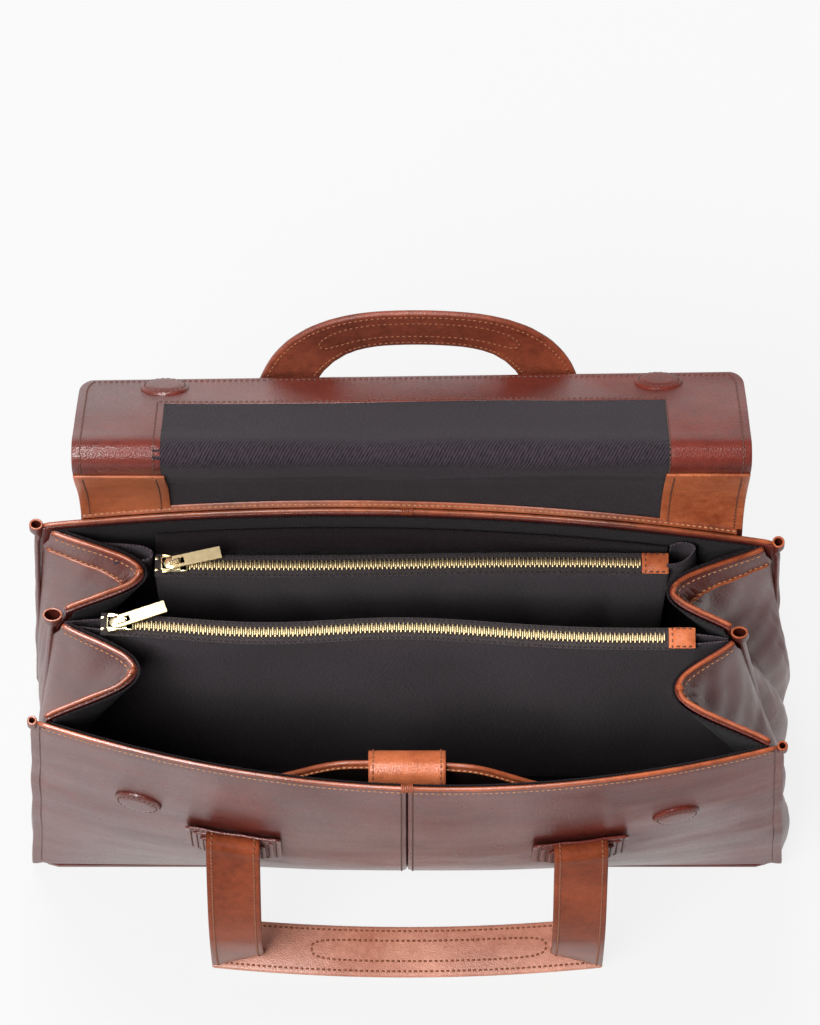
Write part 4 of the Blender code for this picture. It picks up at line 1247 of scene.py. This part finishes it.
def disc(name, centre, normal, finish, height=0.0026):
    """A low round button with a sewn groove, and the ring of stitches in it."""
    turn = normal.to_track_quat("Z", "X").to_matrix()

    def place(across, along):
        angle = 2 * pi * across
        radius = DISC_RADIUS * (1.0 - along)
        dome = height * (1.0 - max(0.0, (radius / DISC_RADIUS)) ** 6) ** 0.5
        dome -= 0.0005 * bell(radius - DISC_RADIUS * 0.82, 0.0009)
        return centre + turn @ Vector((cos(angle) * radius, sin(angle) * radius, dome))
    cap = bmesh.new()
    rings = 12
    around = 48
    made = [[cap.verts.new(place(k / around, 1 - cos(ring / rings * pi / 2) if ring else 0.0))
             for k in range(around)] for ring in range(rings)]
    bottom = [cap.verts.new(centre + turn @ Vector((cos(angle) * DISC_RADIUS, sin(angle) * DISC_RADIUS,
                                                    -height * 0.3))) for angle in turns(around)]
    bridge(cap, [bottom] + made)
    cap.faces.new(made[-1])
    cap.faces.new(bottom[::-1])
    finished(object_of(name, cap, finish, 4), (name,))
    stitches(f"{name}_stitches", place, [level_track(0.17, 36, 0, 36)], dark_thread)


for disc_name in ("front_disc_left", "front_disc_right"):
    low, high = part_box(disc_name)
    x, height = (low.x + high.x) / 2, (low.z + high.z) / 2 - DISC_DROP
    seat = on_wall(front_wall, x, height)
    across = (on_wall(front_wall, x + 0.004, height) - on_wall(front_wall, x - 0.004, height)).normalized()
    up = (on_wall(front_wall, x, height + 0.004) - on_wall(front_wall, x, height - 0.004)).normalized()
    disc(disc_name, seat + across.cross(up) * 0.0006, across.cross(up), body_leather)
for disc_name in ("flap_disc_left", "flap_disc_right"):
    low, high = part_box(disc_name)
    x = (low.x + high.x) / 2 - FLAP_SHIFT
    along = 1.0 - DISC_INSET / FLAP_LENGTH
    tip, _ = travel(flap_line(x), along)
    before, _ = travel(flap_line(x), along - 0.03)
    direction = (tip - before).normalized()
    normal = Vector((0.0, -direction.y, direction.x))
    seat = Vector((x + FLAP_SHIFT, tip.x, tip.y)) + normal * (FACING_LIFT + FACING)
    disc(disc_name, seat, normal, body_leather)


# Handle patches
# Under each end of a handle three leather layers, each smaller than the one below, sewn
# through all of them, with the strap's end between the first and the second.
PATCH_SPACING = 0.193
PATCH_TOP = 0.177
PATCH_WIDTH = 0.053
PATCH_HEIGHT = 0.050
PATCH_STEP = 0.0042
PATCH_LAYER = 0.0016
STRAP_EXIT = 0.009
for wall_name, which, outward in (("front", front_wall, -1), ("rear", rear_wall, 1)):
    for side_name, side in (("left", -1), ("right", 1)):
        for layer in range(3):
            margin = layer * PATCH_STEP
            top = PATCH_TOP - (STRAP_EXIT if layer else 0.0) - max(layer - 1, 0) * PATCH_STEP
            bottom = PATCH_TOP - PATCH_HEIGHT + margin

            def place(across, along):
                half = PATCH_WIDTH / 2 - margin
                corner = 0.0022 * (1 - min(1.0, 14 * min(max(along, 0), max(1 - along, 0)))) ** 2
                x = side * PATCH_SPACING / 2 + mix(-half + corner, half - corner, across) * -outward
                point = on_wall(which, x, mix(bottom, top, along))
                lifted = 0.0018 * max(0.0, along - 0.75) / 0.25 if layer == 0 else 0.0
                wave = 0.0005 * sin(across * 7.0 + side)
                point.y += outward * (lifted + abs(wave) * (layer == 0))
                return point
            piece = f"handle_patch_{wall_name}_{side_name}"
            lift = 0.0006 + (layer + 1) * PATCH_LAYER
            sheet(piece if not layer else f"{piece}_layer_{layer}", 24, 24, place, PATCH_LAYER,
                  body_leather, stands_for=(piece,) if not layer else (), lift=lift)
            inset = 0.055
            ring = [(inset, inset), (1 - inset, inset), (1 - inset, 1 - inset), (inset, 1 - inset),
                    (inset, inset)]
            stitches(f"{piece}_stitches_{layer}", place, [ring], dark_thread, lift=lift)


# Handles
# Each is a long strap of layered leather with sewn edges. The front one has fallen: its legs
# bend over at the patches and hang to the floor, where the grip lies flat. The rear one
# stands, leaning back behind the flap, with its grip on edge.
STRAP_WIDTH = 0.030
STRAP_THICKNESS = 0.0034
STRAP_BEND = 0.0042
GRIP_FORWARD = 0.046
GRIP_BOW = 0.006
GRIP_CORNER_SPACING = 0.196
GRIP_CORNER_TURN = 0.34
STRAP_DEEP = (0.100, 0.022, 0.012)
STRAP_WARM = (0.300, 0.068, 0.032)
FALLEN_DEEP = (0.088, 0.016, 0.006)
FALLEN_WARM = (0.300, 0.066, 0.026)
# Grip colours: much lighter and pinker than the straps. This is a painted highlight, standing for light on
# the flat grip.
PAINTED_HIGHLIGHT_DEEP = (0.380, 0.130, 0.078)
PAINTED_HIGHLIGHT_WARM = (0.700, 0.320, 0.220)
strap_leather = leather_finish("strap_leather", STRAP_DEEP, STRAP_WARM, roughness=0.38, grain=1100.0,
                                gloss=0.30)
fallen_leather = leather_finish("fallen_strap_leather", FALLEN_DEEP, FALLEN_WARM, roughness=0.40,
                                grain=1100.0, gloss=0.12)
# The fallen straps' specular level is raised towards their low ends near the floor. This is a painted sheen,
# standing for the floor's bright reflection on the bent ends.
strap_nodes = fallen_leather.node_tree.nodes
join = joiner(fallen_leather.node_tree)
strap_spot = strap_nodes.new("ShaderNodeTexCoord")
strap_parts = strap_nodes.new("ShaderNodeSeparateXYZ")
low_painted_sheen = node_of(strap_nodes, "ShaderNodeMapRange", From_Min=0.022, From_Max=0.072,
                     To_Min=1.0, To_Max=0.06)
join(strap_spot, "Object", strap_parts, "Vector")
join(strap_parts, "Z", low_painted_sheen, "Value")
join(low_painted_sheen, "Result", strap_nodes["Principled BSDF"], "Specular IOR Level")
exit_height = PATCH_TOP - STRAP_EXIT
strap_floor = 0.0006 + STRAP_THICKNESS / 2
corner_y = -base_high.y - GRIP_FORWARD - STRAP_WIDTH / 4
edge_line = 0.0032 / STRAP_WIDTH
edge_lines = (edge_line, 1 - edge_line)


def front_strap(side):
    top_x = side * PATCH_SPACING / 2
    back = 0.0012 + PATCH_LAYER + STRAP_THICKNESS / 2
    seat = on_wall(front_wall, top_x, exit_height).y - back
    line = [Vector((seat, exit_height)), Vector((seat, exit_height + STRAP_BEND))]
    for step in range(1, 6):
        angle = pi * step / 6
        line.append(Vector((seat - STRAP_BEND * (1 - cos(angle)),
                            exit_height + STRAP_BEND * (1 + sin(angle)))))
    front = seat - 2 * STRAP_BEND
    line += [Vector((front, exit_height)), Vector((mix(front, corner_y, 0.35), exit_height - 0.012)),
             Vector((mix(front, corner_y, 0.95), exit_height * 0.80)),
             Vector((corner_y - 0.0065, exit_height * 0.64)),
             Vector((corner_y - 0.0092, exit_height * 0.47)),
             Vector((corner_y - 0.0082, exit_height * 0.29)),
             Vector((corner_y - 0.0048, exit_height * 0.10)),
             Vector((corner_y - 0.0015, strap_floor)),
             Vector((corner_y + 0.0100, strap_floor))]
    line = smooth_line(line, 2)

    def place(across, along):
        point, direction = travel(line, along)
        offset = (across - 0.5) * STRAP_WIDTH
        x = mix(top_x, side * GRIP_CORNER_SPACING / 2, along) + offset
        slant = on_wall(front_wall, top_x + offset, exit_height).y - on_wall(front_wall, top_x, exit_height).y
        corner = -side * GRIP_CORNER_TURN * offset
        up = clamp(along)
        return Vector((x, point.x + mix(slant, corner, up ** 3), point.y))
    return place


def grip(across, along):
    half = GRIP_CORNER_SPACING / 2 + STRAP_WIDTH / 2
    share = mix(-1, 1, across)
    y = -base_high.y - GRIP_FORWARD + (along - 0.5) * STRAP_WIDTH - GRIP_BOW * (1 - share * share)
    crown = 0.0012 * (1 - (2 * along - 1) ** 2) * max(0.0, 1 - abs(share) ** 8)
    return Vector((share * half, y, strap_floor + crown))


for side_name, side in (("left", -1), ("right", 1)):
    place = front_strap(side)
    sheet(f"handle_front_strap_{side_name}", 16, 110, place, STRAP_THICKNESS, fallen_leather,
          centred=True)
    stitches(f"handle_front_strap_{side_name}_stitches", mirrored(place),
             upright_tracks(edge_lines, 60, 2, 56), strap_thread,
             lift=STRAP_THICKNESS / 2, thick=1.4)
# The grip takes the lighter leather, which is a painted highlight for the light on the grip.
painted_highlight_leather = leather_finish("painted_highlight_leather", PAINTED_HIGHLIGHT_DEEP, PAINTED_HIGHLIGHT_WARM, roughness=0.40, grain=1100.0,
                              gloss=0.60)
sheet("handle_front", 120, 14, grip, STRAP_THICKNESS, painted_highlight_leather, ("handle_front",),
      centred=True)
OVAL_CENTRE = 0.555
OVAL_HALF = 0.30
OVAL_WIDE = 0.20
oval = [(OVAL_CENTRE + OVAL_HALF * copysign(abs(cos(t)) ** 0.25, cos(t)),
         0.5 + OVAL_WIDE * copysign(abs(sin(t)) ** 0.6, sin(t)))
        for t in turns(64, True)]
stitches("handle_front_grip_stitches", grip,
         [level_track(row, 60, 1, 59) for row in edge_lines] + [oval],
         strap_thread, lift=STRAP_THICKNESS / 2, thick=1.4)

REAR_LEAN = radians(33.0)
REAR_GRIP_LEAN = radians(14.0)
REAR_RISE = 0.168
REAR_SHIFT_RIGHT = 0.009
REAR_SHAPE = ({"side": 1.00, "rise": 0.00}, {"side": 0.98, "rise": 0.17}, {"side": 0.90, "rise": 0.46},
              {"side": 0.79, "rise": 0.72}, {"side": 0.68, "rise": 0.88}, {"side": 0.42, "rise": 0.98})
rear_exit = PATCH_TOP - STRAP_EXIT + STRAP_THICKNESS / 2
half_spacing = PATCH_SPACING / 2
rear_legs = [[Vector((sign * row["side"] * half_spacing + REAR_SHIFT_RIGHT * row["rise"],
                      row["rise"] * REAR_RISE)) for row in REAR_SHAPE] for sign in (-1, 1)]
rear_line = smooth_line(rear_legs[0] + [Vector((REAR_SHIFT_RIGHT, REAR_RISE))] + rear_legs[1][::-1])


def rear_handle(across, along):
    point, direction = travel(rear_line, along)
    lean = mix(REAR_LEAN, REAR_GRIP_LEAN, abs(direction.x))
    rise = Vector((0.0, sin(lean), cos(lean)))
    width = Vector((-direction.y, 0.0, 0.0)) + rise * direction.x
    offset = width * ((across - 0.5) * STRAP_WIDTH)
    left, right = (on_wall(rear_wall, sign * half_spacing, rear_exit).y for sign in (-1, 1))
    root = mix(left, right, (point.x / half_spacing + 1) / 2) + 0.0016 + PATCH_LAYER + STRAP_THICKNESS / 2
    slant = on_wall(rear_wall, point.x + offset.x, rear_exit).y - on_wall(rear_wall, point.x, rear_exit).y
    slant *= max(0.0, 1.0 - 2 * point.y / REAR_RISE)
    back = root + slant + point.y * sin(REAR_LEAN)
    return Vector((point.x, back, rear_exit + point.y * cos(REAR_LEAN))) + offset


sheet("handle_rear", 14, 160, rear_handle, STRAP_THICKNESS, strap_leather,
      ("handle_rear",), centred=True)
REAR_OVAL_HALF = 0.128
rear_oval = [(0.5 + OVAL_WIDE * sin(t), 0.5 + REAR_OVAL_HALF * copysign(abs(cos(t)) ** 0.25, cos(t)))
             for t in turns(64, True)]
for face_name, face in (("front", rear_handle), ("back", mirrored(rear_handle))):
    stitches(f"handle_rear_stitches_{face_name}", face,
             upright_tracks(edge_lines, 120, 3, 117) + [rear_oval], strap_thread,
             lift=STRAP_THICKNESS / 2)

low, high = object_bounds()
